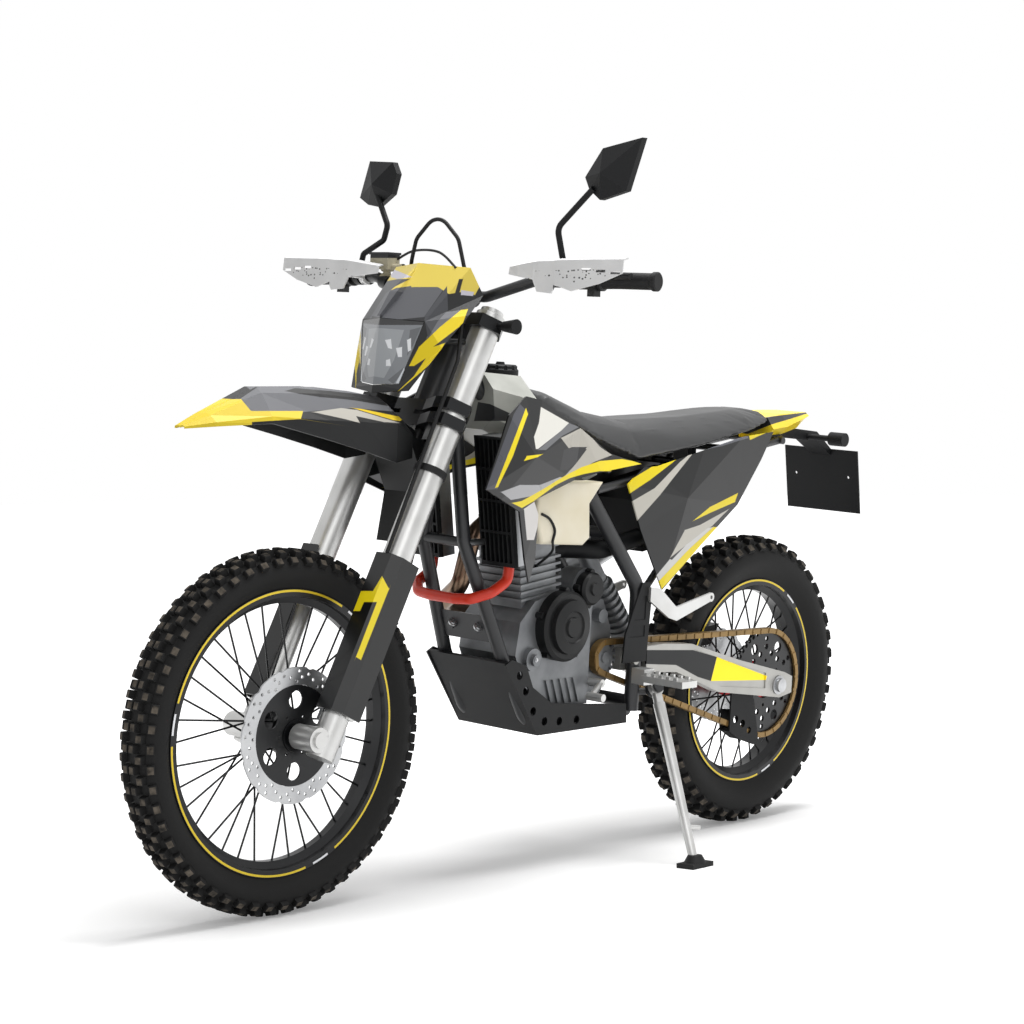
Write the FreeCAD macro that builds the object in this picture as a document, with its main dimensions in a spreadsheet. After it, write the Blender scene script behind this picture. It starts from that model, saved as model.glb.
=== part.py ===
import FreeCAD, Part
import math
import os
import Sketcher

V = FreeCAD.Vector
Turn = FreeCAD.Rotation
Place = FreeCAD.Placement

# Driving sizes in mm and degrees. Upright bike frame: X forward, Y to the rider's left, Z up,
# origin on the ground midway between the axles.
SIZES = [
    ("wheelbase", 1482, "axle to axle"),
    ("lean", 5, "lean to the left on the side stand"),
    ("steer_rest", -3, "steering turned to the right at rest"),
    ("park_x", -7, "shift of the parked bike along X"),
    ("park_y", -105.6, "shift of the parked bike along Y"),
    ("rake", 26.5, "steering axis from the vertical"),
    ("trail", 110, "ground trail"),
    ("front_rim_radius", 274, "front rim flange"),
    ("front_section", 76, "front tyre from rim flange to lug tips"),
    ("front_half_width", 44, "front tyre half width"),
    ("rear_rim_radius", 237, "rear rim flange"),
    ("rear_section", 99, "rear tyre from rim flange to lug tips"),
    ("rear_half_width", 58, "rear tyre half width"),
    ("front_pitches", 34, "lug rows round the front tyre"),
    ("rear_pitches", 32, "lug rows round the rear tyre"),
    ("lug_height", 11, "tread lug height"),
    ("crown_half", 12, "half width of the flat crown lug"),
    ("front_rim_half", 28, "front rim half width"),
    ("rear_rim_half", 36, "rear rim half width"),
    ("bead_gap", 3.9, "tyre bead inside the rim edge"),
    ("spoke_groups", 9, "groups of four spokes in each wheel"),
    ("spoke_radius", 2, "spoke"),
    ("axle_radius", 10, "wheel axles"),
    ("axle_gap", 0.4, "hub bore over its axle"),
    ("front_flange", 40, "front hub spoke flange"),
    ("rear_flange", 46, "rear hub spoke flange"),
    ("hub_gap", 0.3, "pieces fitted round a hub"),
    ("disc_front", 130, "front brake disc radius"),
    ("disc_rear", 110, "rear brake disc radius"),
    ("disc_thick", 4, "brake disc thickness"),
    ("disc_waves", 12, "waves round each brake disc"),
    ("disc_hole", 3.4, "brake disc hole radius"),
    ("carrier_front", 96, "front disc carrier radius"),
    ("fork_half", 105, "fork leg from the centre plane"),
    ("fork_lead", 24, "fork leg ahead of the steering axis"),
    ("upper_tube_radius", 29, "upper fork tube"),
    ("slider_radius", 24, "lower fork tube"),
    ("tube_foot", 725, "lower end of the upper fork tube along the steering axis"),
    ("lower_clamp", 1049, "lower clamp along the steering axis"),
    ("clamp_rise", 199, "upper clamp over the lower clamp"),
    ("bar_half", 485, "handlebar half width"),
    ("bar_radius", 11, "handlebar tube"),
    ("grip_length", 126, "grip"),
    ("frame_tube", 16, "frame spar radius"),
    ("cradle_tube", 14, "frame cradle radius"),
    ("frame_half", 100, "frame spar from the centre plane"),
    ("pivot_x", -205, "swingarm pivot"),
    ("pivot_z", 432, "swingarm pivot height"),
    ("pivot_radius", 9, "swingarm pivot pin"),
    ("case_half", 78, "engine case half width"),
    ("cover_radius", 74, "ignition cover"),
    ("clutch_radius", 88, "clutch cover"),
    ("chain_pitch", 15.875, "chain pitch"),
    ("sprocket_teeth", 48, "rear sprocket"),
    ("pinion_teeth", 13, "front sprocket"),
    ("roller_gap", 5.4, "tooth gap radius for the chain rollers"),
    ("chain_y", 74, "chain line"),
    ("arm_inner", 88, "swingarm leg inner face"),
    ("arm_outer", 116, "swingarm leg outer face"),
    ("silencer_radius", 46, "silencer"),
    ("header_radius", 19, "exhaust pipe"),
    ("cap_radius", 38, "tank cap"),
    ("plate_bolt", 3.5, "plate bolt hole radius"),
    ("peg_hole", 4.2, "bolt hole radius for a pillion peg"),
    ("plate_bolt_half", 75, "plate bolt from the centre plane"),
    ("plate_half", 104, "number plate half width"),
    ("skid_hole", 9, "skid plate drain hole radius"),
    ("stand_foot_x", -170, "stand foot on the floor"),
    ("stand_foot_y", 330, "stand foot on the floor"),
    ("stand_pin", 8, "side stand pivot pin"),
]

doc = FreeCAD.newDocument("TrailMotorcycle")
sheet = doc.addObject("Spreadsheet::Sheet", "Sizes")
for line, (alias, value, note) in enumerate(SIZES, 1):
    sheet.set(f"A{line}", str(value))
    sheet.setAlias(f"A{line}", alias)
    sheet.set(f"B{line}", note)
doc.recompute()


def size(alias):
    return float(sheet.get(alias))


def number(value):
    """A plain number, or an expression of the sizes worked out."""
    return float(sheet.evalExpression(value)) if isinstance(value, str) else float(value)


BASE = size("wheelbase")
LEAN = math.radians(size("lean"))
RAKE = math.radians(size("rake"))
FORK_Y = size("fork_half")
LEAD = size("fork_lead")
LOWER = size("lower_clamp")
UPPER = LOWER + size("clamp_rise")
FRONT_RADIUS = size("front_rim_radius") + size("front_section")
REAR_RADIUS = size("rear_rim_radius") + size("rear_section")
FRONT_AXLE = V(BASE / 2, 0, FRONT_RADIUS)
REAR_AXLE = V(-BASE / 2, 0, REAR_RADIUS)
PIVOT = V(size("pivot_x"), 0, size("pivot_z"))
STEER_FOOT = V(BASE / 2 + size("trail"), 0, 0)
STEER_DIR = V(-math.sin(RAKE), 0, math.cos(RAKE))
STEER_AHEAD = V(math.cos(RAKE), 0, math.sin(RAKE))


def fork_point(along, ahead=0.0, side=0.0):
    """A point given along the steering axis, ahead of it and to the left."""
    return STEER_FOOT + STEER_DIR * along + STEER_AHEAD * ahead + V(0, side, 0)


# The bodywork is drawn on one side view of the bike. Each region of it keeps its place from
# what carries it: the steering head, the swingarm pivot or the rear axle.
NOSE_SHIFT = fork_point(LOWER) - V(382.94, 0, 938.78)
MID_SHIFT = PIVOT - V(-205, 0, 432)
REAR_SHIFT = REAR_AXLE - V(-741, 0, 336)


def nose(x, y, z):
    return V(x, y, z) + NOSE_SHIFT


def mid(x, y, z):
    return V(x, y, z) + MID_SHIFT


def rear(x, y, z):
    return V(x, y, z) + REAR_SHIFT


PARK = Place(V(size("park_x"), size("park_y"), size("crown_half") * math.sin(LEAN)),
             Turn(V(1, 0, 0), -size("lean")))
STEERED = PARK.multiply(Place(V(), Turn(STEER_DIR, size("steer_rest")), STEER_FOOT))

nodes = []
checked = []


def node(label, shape, place=PARK):
    """One named piece of the bike, given in the upright frame and put in its parked place."""
    item = doc.addObject("Part::Feature", label)
    item.Label = label
    item.Shape = shape
    item.Placement = place.multiply(item.Placement)
    nodes.append(item)
    return item


def bind(item, **settings):
    """Each property set to a number or bound to an expression of the sizes."""
    for name, value in settings.items():
        if isinstance(value, str):
            item.setExpression(name, value)
        else:
            setattr(item, name, value)
    checked.append(item)
    return item


def body(label, place, named=True):
    item = doc.addObject("PartDesign::Body", label)
    item.Label = label
    item.Placement = place
    if named:
        nodes.append(item)
    return item


def origin(owner, role):
    return next(item for item in owner.Origin.OriginFeatures if item.Role == role)


def sketch(owner, role, loops, shift=0):
    """Closed outlines on an origin plane, shift along its normal. A loop is a list of corners
    (across, up) or one circle (across, up, radius), and each number may be an expression."""
    drawing = owner.newObject("Sketcher::SketchObject", "outline")
    drawing.AttachmentSupport = [(origin(owner, role), "")]
    drawing.MapMode = "FlatFace"
    if isinstance(shift, str):
        drawing.setExpression("AttachmentOffset.Base.z", shift)
    else:
        drawing.AttachmentOffset = Place(V(0, 0, shift), Turn())

    def pin(kind, curve, point, value):
        parts = (curve, number(value)) if point is None else (curve, point, number(value))
        index = drawing.addConstraint(Sketcher.Constraint(kind, *parts))
        if isinstance(value, str):
            drawing.setExpression(f"Constraints[{index}]", value)

    for loop in loops:
        if isinstance(loop, tuple):
            across, up, radius = loop
            curve = drawing.addGeometry(
                Part.Circle(V(number(across), number(up), 0), V(0, 0, 1), number(radius)), False)
            pin("Radius", curve, None, radius)
            pin("DistanceX", curve, 3, across)
            pin("DistanceY", curve, 3, up)
            continue
        spots = [V(number(across), number(up), 0) for across, up in loop]
        lines = [Part.LineSegment(a, b) for a, b in zip(spots, spots[1:] + spots[:1])]
        curves = drawing.addGeometry(lines, False)
        for k, curve in enumerate(curves):
            drawing.addConstraint(Sketcher.Constraint("Coincident", curve, 2, curves[(k + 1) % len(curves)], 1))
        for curve, (across, up) in zip(curves, loop):
            pin("DistanceX", curve, 1, across)
            pin("DistanceY", curve, 1, up)
    checked.append(drawing)
    return drawing


def slab(owner, loops, low, high):
    """A plate across the bike from low to high in Y, with its outline in X and Z."""
    drawing = sketch(owner, "XZ_Plane", loops, f"-({high})")
    return bind(owner.newObject("PartDesign::Pad", "slab"), Profile=drawing, Length=f"({high}) - ({low})")


def slots(owner, loops, low, high):
    """An outline in X and Z cut away from low to high in Y."""
    drawing = sketch(owner, "XZ_Plane", loops, f"-({low})")
    return bind(owner.newObject("PartDesign::Pocket", "slots"), Profile=drawing,
                Length=f"({high}) - ({low})")


def turned(owner, loop):
    """A round about the body's Y axis from (radius, y) corners."""
    drawing = sketch(owner, "XY_Plane", [loop])
    return bind(owner.newObject("PartDesign::Revolution", "turned"), Profile=drawing,
                ReferenceAxis=(drawing, ["V_Axis"]), Angle=360.0)


def around(owner, features, count):
    """Copies of features evenly round the body's Y axis."""
    pattern = owner.newObject("PartDesign::PolarPattern", "around")
    pattern.Originals = features
    pattern.Axis = (origin(owner, "Y_Axis"), [""])
    bind(pattern, Angle=360.0, Occurrences=count)
    owner.Tip = pattern
    return pattern


def pair(label, left, place=PARK):
    """A left piece and its mirror image as one node of two solids."""
    other = doc.addObject("Part::Mirroring", label + "_right")
    other.Source = left
    other.Normal = V(0, 1, 0)
    couple = doc.addObject("Part::Compound", label)
    couple.Label = label
    couple.Links = [left, other]
    couple.Placement = place
    nodes.append(couple)
    checked.extend([other, couple])
    return couple


def cylinder(label, start, direction, radius, length, place=PARK, named=True):
    """A round bar whose radius and length are bound to the sizes."""
    item = doc.addObject("Part::Cylinder", label)
    item.Label = label
    item.Placement = place.multiply(Place(start, Turn(V(0, 0, 1), direction)))
    bind(item, Radius=radius, Height=length)
    if named:
        nodes.append(item)
    return item


def rod(start, end, radius):
    return Part.makeCylinder(radius, (end - start).Length, start, end - start)


def lateral(centre, radius, low, high):
    """A round of given radius across the bike, from low to high in Y."""
    return Part.makeCylinder(radius, high - low, V(centre.x, low, centre.z), V(0, 1, 0))


def ring(centre, outer, inner, low, high):
    return lateral(centre, outer, low, high).cut(lateral(centre, inner, low - 1, high + 1))


def rounded_path(points, bend):
    """Straight runs joined by tangent arcs of the bend radius, as one wire."""
    edges = []
    last = points[0]
    for before, corner, after in zip(points, points[1:], points[2:]):
        a = (before - corner).normalize()
        b = (after - corner).normalize()
        half = a.getAngle(b) / 2
        if half > math.pi / 2 - 0.02:
            continue
        room = min((before - corner).Length, (after - corner).Length) * 0.49
        setback = min(bend / math.tan(half), room)
        radius = setback * math.tan(half)
        enter = corner + a * setback
        leave = corner + b * setback
        middle = corner + (a + b).normalize() * (radius / math.sin(half) - radius)
        if (enter - last).Length > 0.01:
            edges.append(Part.makeLine(last, enter))
        edges.append(Part.Arc(enter, middle, leave).toShape())
        last = leave
    edges.append(Part.makeLine(last, points[-1]))
    return Part.Wire(edges)


def tube(points, radius, bend=40.0):
    """A round tube or hose along a path of straight runs and arcs."""
    path = rounded_path(points, bend)
    start = points[1] - points[0]
    profile = Part.Wire(Part.makeCircle(radius, points[0], start))
    return path.makePipeShell([profile], True, False)


def plate(outline, low, high, shift=V()):
    """A flat plate across Y from an outline of (x, z) corners."""
    face = Part.Face(Part.makePolygon([V(x, low, z) + shift for x, z in outline + outline[:1]]))
    return face.extrude(V(0, high - low, 0))


def loft(sections):
    """A solid with flat sides through closed outlines, each a list of points."""
    wires = [Part.makePolygon(list(corners) + [corners[0]]) for corners in sections]
    return Part.makeLoft(wires, True, True)


def mirrored(shape):
    return shape.mirror(V(), V(0, 1, 0))


def both(shape):
    return Part.makeCompound([shape, mirrored(shape)])


def fuse(first, *others):
    return first.multiFuse(list(others)).removeSplitter()


def oriented(faces):
    """The same triangles with every shared edge run once each way."""
    waiting = [tuple(face) for face in faces]
    done = [waiting.pop(0)]
    edges = {(done[0][k], done[0][(k + 1) % 3]) for k in range(3)}
    while waiting:
        for face in list(waiting):
            sides = {(face[k], face[(k + 1) % 3]) for k in range(3)}
            back = {(b, a) for a, b in sides}
            if back & edges:
                chosen, run = face, sides
            elif sides & edges:
                chosen, run = face[::-1], back
            else:
                continue
            waiting.remove(face)
            done.append(chosen)
            edges |= run
    return done


def closed(walls):
    """A solid bounded by flat walls, each a list of corners."""
    solid = Part.Solid(Part.makeShell([Part.Face(Part.makePolygon(w + w[:1])) for w in walls]))
    if solid.Volume < 0:
        solid.reverse()
    return solid


def skin(points, faces, thickness, outward):
    """A thin panel: flat outer triangles given by corner numbers, thickened along the normals."""
    faces = oriented(faces)
    normals = [V() for _ in points]
    total = V()
    for a, b, c in faces:
        normal = (points[b] - points[a]).cross(points[c] - points[a])
        total += normal
        for k in (a, b, c):
            normals[k] += normal.normalize()
    sign = 1 if total.dot(outward) > 0 else -1
    inner = [point - normal.normalize() * (thickness * sign) if normal.Length else point
             for point, normal in zip(points, normals)]
    edges = {(face[k], face[(k + 1) % 3]) for face in faces for k in range(3)}
    walls = []
    for a, b, c in faces:
        walls.append([points[a], points[b], points[c]])
        walls.append([inner[c], inner[b], inner[a]])
    for a, b in edges:
        if (b, a) not in edges:
            walls.append([points[b], points[a], inner[a]])
            walls.append([points[b], inner[a], inner[b]])
    return closed(walls)


def grid_skin(rows, thickness, outward):
    """A thin panel through rows of the same number of points."""
    across = len(rows[0])
    points = [spot for row in rows for spot in row]
    faces = []
    for r in range(len(rows) - 1):
        for k in range(across - 1):
            a = r * across + k
            faces += [(a, a + 1, a + across + 1), (a, a + across + 1, a + across)]
    return skin(points, faces, thickness, outward)


def fan(centre, rim):
    """Triangles from one corner to each side of a rim of corners."""
    return [(centre, a, b) for a, b in zip(rim, rim[1:])]


# Knobbly tyres: flat rubber facets between the rim edges, with a lug standing on the crown and
# on each shoulder of every pitch.
def tyre(centre, radius, half, flange, rim_half, count):
    lug = size("lug_height")
    crown = size("crown_half")
    bead = rim_half - size("bead_gap")
    side = [(radius - lug, crown + 3), (radius - lug - 6, half * 0.62), (radius - lug - 24, half * 0.95),
            (flange + 26, half * 0.93), (flange + 2, bead), (flange - 9.6, bead - 1.5)]
    profile = side + [(r, -y) for r, y in reversed(side)]
    strips = list(zip(profile, profile[1:] + profile[:1]))
    lugged = {1: (0.22, 0.95, 0.14, 0.72), len(side) - 1 + len(side) - 1: (0.05, 0.78, 0.14, 0.72),
              len(profile) - 1: None}
    stretch = 1 / math.cos(math.pi / count)

    def corner(turn, r, y):
        angle = 2 * math.pi * turn / count - math.pi / 2
        return V(centre.x + r * stretch * math.cos(angle), y, centre.z + r * stretch * math.sin(angle))

    def raised(a, b, c, d, low, high, start, stop, rise):
        """A lug on the facet a, b, c, d between shares of its width and of its length."""
        def spot(across, along):
            return (a * (1 - along) + b * along) * (1 - across) + (d * (1 - along) + c * along) * across
        foot = [spot(low, start), spot(low, stop), spot(high, stop), spot(high, start)]
        outward = (b - a).cross(d - a).normalize() * rise
        if outward.dot((a + c) * 0.5 - centre) < 0:
            outward = outward * -1
        top = [p + outward for p in foot]
        inner = Part.makePolygon(foot + foot[:1])
        base = Part.makeFace([Part.makePolygon([a, b, c, d, a]), inner], "Part::FaceMakerBullseye")
        walls = [[foot[k], foot[(k + 1) % 4], top[(k + 1) % 4], top[k]] for k in range(4)] + [top]
        return [base] + [Part.Face(Part.makePolygon(w + w[:1])) for w in walls]

    faces = []
    for k in range(count):
        for index, ((r0, y0), (r1, y1)) in enumerate(strips):
            a, b = corner(k - 0.5, r0, y0), corner(k + 0.5, r0, y0)
            c, d = corner(k + 0.5, r1, y1), corner(k - 0.5, r1, y1)
            if lugged.get(index):
                low, high, start, stop = lugged[index]
                faces += raised(a, b, c, d, low, high, start, stop, lug * 0.9)
            elif index == len(profile) - 1:
                share = (crown + 3 - crown) / (2 * (crown + 3))
                faces += raised(a, b, c, d, share, 1 - share, 0.28, 0.72, lug)
            else:
                faces.append(Part.Face(Part.makePolygon([a, b, c, d, a])))
    solid = Part.Solid(Part.makeShell(faces))
    if solid.Volume < 0:
        solid.reverse()
    return solid


FRONT_WHEEL = STEERED.multiply(Place(FRONT_AXLE, Turn()))
REAR_WHEEL = PARK.multiply(Place(REAR_AXLE, Turn()))
node("front_tyre", tyre(FRONT_AXLE, FRONT_RADIUS, size("front_half_width"), size("front_rim_radius"),
                        size("front_rim_half"), int(size("front_pitches"))), STEERED)
node("rear_tyre", tyre(REAR_AXLE, REAR_RADIUS, size("rear_half_width"), size("rear_rim_radius"),
                       size("rear_rim_half"), int(size("rear_pitches"))))


def laced_rim(label, place, radius, half, flange, flange_y):
    """An alloy rim with a drop centre, laced with crossed spokes in groups of four."""
    hoop = body(label + "_hoop", Place(), named=False)
    side = [(radius, half), (radius, f"{half} - 3.5"), (f"{radius} - 10", f"{half} - 5"),
            (f"{radius} - 11", f"{half} * 0.45"), (f"{radius} - 24", f"{half} * 0.3")]
    under = [(f"{radius} - 28", f"{half} * 0.28"), (f"{radius} - 15", f"{half} * 0.6"),
             (f"{radius} - 14", half)]
    turned(hoop, side + [(r, f"-({y})") for r, y in reversed(side)]
           + [(r, f"-({y})") for r, y in reversed(under)] + under)
    pieces = [hoop]
    count = 4 * int(size("spoke_groups"))
    hub_end = number(flange) + 1.6
    for k in range(count):
        turn = 2 * math.pi * k / count
        leading = turn + (0.5 if k % 4 < 2 else -0.5)
        start = V(hub_end * math.cos(leading), flange_y if k % 2 else -flange_y, hub_end * math.sin(leading))
        end = V(math.cos(turn), 0, math.sin(turn)) * (number(radius) - 26)
        pieces.append(cylinder(label + "_spoke", start, end - start, "Sizes.spoke_radius", (end - start).Length,
                               Place(), named=False))
    laced = doc.addObject("Part::MultiFuse", label)
    laced.Label = label
    laced.Shapes = pieces
    laced.Placement = place
    nodes.append(laced)
    checked.append(laced)


laced_rim("front_rim", FRONT_WHEEL, "Sizes.front_rim_radius", "Sizes.front_rim_half",
          "Sizes.front_flange", 28)
laced_rim("rear_rim", REAR_WHEEL, "Sizes.rear_rim_radius", "Sizes.rear_rim_half",
          "Sizes.rear_flange", 32)

HUB_BORE = "Sizes.axle_radius + Sizes.axle_gap"
FRONT_SEAT = 30
REAR_SEAT = 32
SPROCKET_SEAT = 36
turned(body("front_hub", FRONT_WHEEL),
       [(HUB_BORE, -60), (17, -60), (17, -34), ("Sizes.front_flange", -32), ("Sizes.front_flange", -24),
        (24, -20), (24, 20), ("Sizes.front_flange", 24), ("Sizes.front_flange", 32), (FRONT_SEAT, 34),
        (FRONT_SEAT, 58), (HUB_BORE, 58)])
turned(body("rear_hub", REAR_WHEEL),
       [(HUB_BORE, -72), (20, -72), (20, -62), (REAR_SEAT, -62), (REAR_SEAT, -38),
        ("Sizes.rear_flange", -36), ("Sizes.rear_flange", -28), (30, -24), (30, 24),
        ("Sizes.rear_flange", 28), ("Sizes.rear_flange", 36), (SPROCKET_SEAT, 38), (SPROCKET_SEAT, 60),
        (60, 64), (60, "Sizes.chain_y - 3.3"), (20, "Sizes.chain_y - 3.3"), (20, 82), (HUB_BORE, 82)])


def at(radius, degrees):
    """Across and up at an angle round the wheel, with the radius kept as an expression."""
    turn = math.radians(degrees)
    return f"({radius}) * {math.cos(turn):.6f}", f"({radius}) * {math.sin(turn):.6f}"


def wave_disc(label, place, radius, inner, low, high):
    """A ground brake disc with a waved edge and rows of cross-drilled holes."""
    owner = body(label, place)
    slab(owner, [(0, 0, radius), (0, 0, inner)], low, high)
    step = 360 / size("disc_waves")
    cuts = [at(f"{radius} + 13", step / 2) + (16,)]
    for depth, turn in ((8, 0.12), (12, 0.5), (19, 0.25), (19, 0.75), (27, 0.02)):
        cuts.append(at(f"{radius} - {depth}", step * turn) + ("Sizes.disc_hole",))
    wave = slots(owner, cuts, f"({low}) - 1", f"({high}) + 1")
    around(owner, [wave], "Sizes.disc_waves")
    return owner


def carrier(label, place, outer, seat, low, high, middle, gap):
    """The disc's carrier: six arms between round openings, seated on the hub."""
    owner = body(label, place)
    slab(owner, [(0, 0, outer), (0, 0, f"{seat} + Sizes.hub_gap")], low, high)
    opening = slots(owner, [at(middle, 30) + (gap,), at(f"{seat} + 9", 0) + (3,)],
                    f"({low}) - 1", f"({high}) + 1")
    around(owner, [opening], 6)
    return owner


wave_disc("front_disc", FRONT_WHEEL, "Sizes.disc_front", "Sizes.carrier_front + Sizes.hub_gap", 52,
          "52 + Sizes.disc_thick")
carrier("front_carrier", FRONT_WHEEL, "Sizes.carrier_front", FRONT_SEAT, 52, "52 + Sizes.disc_thick",
        "Sizes.carrier_front * 0.71", 17)
wave_disc("rear_disc", REAR_WHEEL, "Sizes.disc_rear", f"{REAR_SEAT} + Sizes.hub_gap",
          "-58 - Sizes.disc_thick", -58)


# Chain drive: toothed sprockets, and a chain of outer plates over side bands and a roof strip
# that stands for its rollers.
def pitch_radius(teeth):
    return size("chain_pitch") / 2 / math.sin(math.pi / teeth)


def toothed(label, place, teeth, bore):
    """A sprocket plate with a round gap for a roller at every tooth."""
    pitch = f"Sizes.chain_pitch / 2 / sin(180 deg / {teeth})"
    owner = body(label, place)
    slab(owner, [(0, 0, f"{pitch} + 4.5"), (0, 0, bore)], "Sizes.chain_y - 3", "Sizes.chain_y + 3")
    gap = slots(owner, [(f"{pitch} * cos(180 deg / {teeth})", f"{pitch} * sin(180 deg / {teeth})",
                         "Sizes.roller_gap")], "Sizes.chain_y - 4", "Sizes.chain_y + 4")
    around(owner, [gap], teeth)
    return owner


CHAIN_Y = size("chain_y")
TEETH = int(size("sprocket_teeth"))
PINION_TEETH = int(size("pinion_teeth"))
PINION = mid(-143, 0, 438) + V(0, CHAIN_Y, 0)
sprocket = toothed("rear_sprocket", REAR_WHEEL, "Sizes.sprocket_teeth", f"{SPROCKET_SEAT} + Sizes.hub_gap")
lightening = slots(sprocket, [at(92, 0) + (13,), at(70, 12) + (7,), at(70, -12) + (7,), at(103, 30) + (6,),
                              at(84, 30) + (7,), at(52, 30) + (4,)],
                   "Sizes.chain_y - 4", "Sizes.chain_y + 4")
around(sprocket, [lightening], 6)
pinion = toothed("front_sprocket", PARK.multiply(Place(V(PINION.x, 0, PINION.z), Turn())),
                 "Sizes.pinion_teeth", 2)
shaft = sketch(pinion, "XZ_Plane", [(0, 0, 12)], "-(Sizes.chain_y + 8)")
bind(pinion.newObject("PartDesign::Pad", "shaft"), Profile=shaft, Length="Sizes.chain_y + 8 - 60.3")


def chain_line(grow, tooth_steps=28, pinion_steps=10):
    """The chain's closed path round both sprockets, offset from the pitch line."""
    big, small = pitch_radius(TEETH) + grow, pitch_radius(PINION_TEETH) + grow
    apart = math.hypot(PINION.x - REAR_AXLE.x, PINION.z - REAR_AXLE.z)
    tilt = math.atan2(PINION.z - REAR_AXLE.z, PINION.x - REAR_AXLE.x)
    spread = math.acos((big - small) / apart)
    points = []
    for k in range(tooth_steps + 1):
        turn = tilt + spread + (2 * math.pi - 2 * spread) * k / tooth_steps
        points.append(V(REAR_AXLE.x + big * math.cos(turn), 0, REAR_AXLE.z + big * math.sin(turn)))
    for k in range(pinion_steps + 1):
        turn = tilt - spread + 2 * spread * k / pinion_steps
        points.append(V(PINION.x + small * math.cos(turn), 0, PINION.z + small * math.sin(turn)))
    return points


def chain_band(low, high, inner, outer):
    """The chain's run as one closed band between two offsets from the pitch line."""
    faces = []
    for grow in (outer, inner):
        line = chain_line(grow)
        faces.append(Part.Face(Part.makePolygon(line + line[:1])))
    band = faces[0].cut(faces[1]).extrude(V(0, high - low, 0))
    band.translate(V(0, low, 0))
    return band


def chain_plates(low, high):
    """Every second link's outer plate, standing proud of the band."""
    line = chain_line(0, 96, 24)
    line.append(line[0])
    lengths = [(b - a).Length for a, b in zip(line, line[1:])]
    count = 2 * round(sum(lengths) / size("chain_pitch") / 2)
    step = sum(lengths) / count
    pins = []
    walked, index = 0.0, 0
    for k in range(count):
        while walked + lengths[index] < k * step:
            walked += lengths[index]
            index += 1
        pins.append(line[index] + (line[index + 1] - line[index]) * ((k * step - walked) / lengths[index]))
    plates = []
    for a, b in zip(pins[::2], pins[1::2]):
        link = Part.makeBox(step + 9, high - low, 11, V(-step / 2 - 4.5, low, -5.5))
        link.Placement = Place((a + b) * 0.5, Turn(V(1, 0, 0), b - a))
        plates.append(link)
    return plates


bands = fuse(chain_band(CHAIN_Y - 8, CHAIN_Y - 4, -6, 6.5), chain_band(CHAIN_Y + 4, CHAIN_Y + 8, -6, 6.5),
             chain_band(CHAIN_Y - 6, CHAIN_Y + 6, 5.3, 6.5))
node("chain", bands.multiFuse(chain_plates(CHAIN_Y + 7, CHAIN_Y + 9.5)))


def group(label, items, place=PARK):
    """Drawn pieces of one kind as one node."""
    made = doc.addObject("Part::Compound", label)
    made.Label = label
    made.Links = items
    made.Placement = place
    nodes.append(made)
    checked.append(made)
    return made


def trimmed(label, base, room, place=PARK):
    """A drawn piece with room cut out of it for its neighbours."""
    knife = doc.addObject("Part::Feature", label + "_room")
    knife.Shape = room
    made = doc.addObject("Part::Cut", label)
    made.Label = label
    made.Base = base
    made.Tool = knife
    made.Placement = place
    nodes.append(made)
    checked.append(made)
    return made


# Perimeter frame: two spars from the steering head past the swingarm pivot, a double cradle
# under the engine, cross tubes and the bolted engine plate on the down tubes.
TUBE = size("frame_tube")
CRADLE_TUBE = size("cradle_tube")
HALF = size("frame_half")
CASE = size("case_half")
HEAD_LOW = fork_point(LOWER + 30)
HEAD_HIGH = fork_point(UPPER - 13)
SPAR = [fork_point(UPPER - 58, -22, 14), nose(150, 62, 905), mid(-30, HALF, 795), mid(-215, HALF, 588),
        mid(-215, HALF, 322)]
CRADLE = [fork_point(LOWER + 116, -26, 10), nose(300, 55, 700), mid(190, 80, 455), mid(112, 84, 322),
          mid(-215, 86, 322)]
SPAR_ROOM = both(tube(SPAR, TUBE + 1, 60))
CRADLE_ROOM = both(tube(CRADLE, CRADLE_TUBE + 0.3, 50))
ENGINE_PLATE = plate([(203, 492), (209, 492), (234, 548), (228, 548)], -74, 74, MID_SHIFT)
plate_bolts = [rod(mid(221, y, 520), mid(231, y, 515.5), 8) for y in (-34, 34)]
spar = tube(SPAR, TUBE, 60)
cradle = tube(CRADLE, CRADLE_TUBE, 50)
frame = fuse(rod(HEAD_LOW, HEAD_HIGH, 30), spar, mirrored(spar), cradle, mirrored(cradle),
             rod(nose(300, -55, 700), nose(300, 55, 700), 10),
             rod(mid(-215, -HALF, 340), mid(-215, HALF, 340), 14),
             rod(mid(-108, -HALF, 708), mid(-108, HALF, 708), 12),
             ENGINE_PLATE, *plate_bolts)
frame = frame.cut(rod(HEAD_LOW, HEAD_HIGH, 14.5)).cut(lateral(PIVOT, size("pivot_radius") + 0.3, -130, 130))

# The side stand pivots on a bracket of the left spar. Its foot's place on the floor sets the leg.
STAND_PIVOT = mid(-250, 137, 372)
foot_row = V(size("stand_foot_x") + size("park_x"), size("stand_foot_y") + size("park_y"), 0)
foot = PARK.inverse().multVec(foot_row)
leg_dir = (foot - STAND_PIVOT).normalize()
FOLDED = V(-0.985, 0.07, 0.12).normalize()
STAND_AXIS = leg_dir.cross(FOLDED).normalize()
PIN = size("stand_pin")
bracket = fuse(rod(STAND_PIVOT - STAND_AXIS * 6.4, STAND_PIVOT - STAND_AXIS * 16, 17),
               rod(mid(-215, HALF, 362), STAND_PIVOT - STAND_AXIS * 17, 8),
               rod(STAND_PIVOT - STAND_AXIS * 12, STAND_PIVOT + STAND_AXIS * 9, PIN),
               rod(STAND_PIVOT + STAND_AXIS * 6.4, STAND_PIVOT + STAND_AXIS * 12, 13))
node("main_frame", fuse(frame, bracket))

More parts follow.
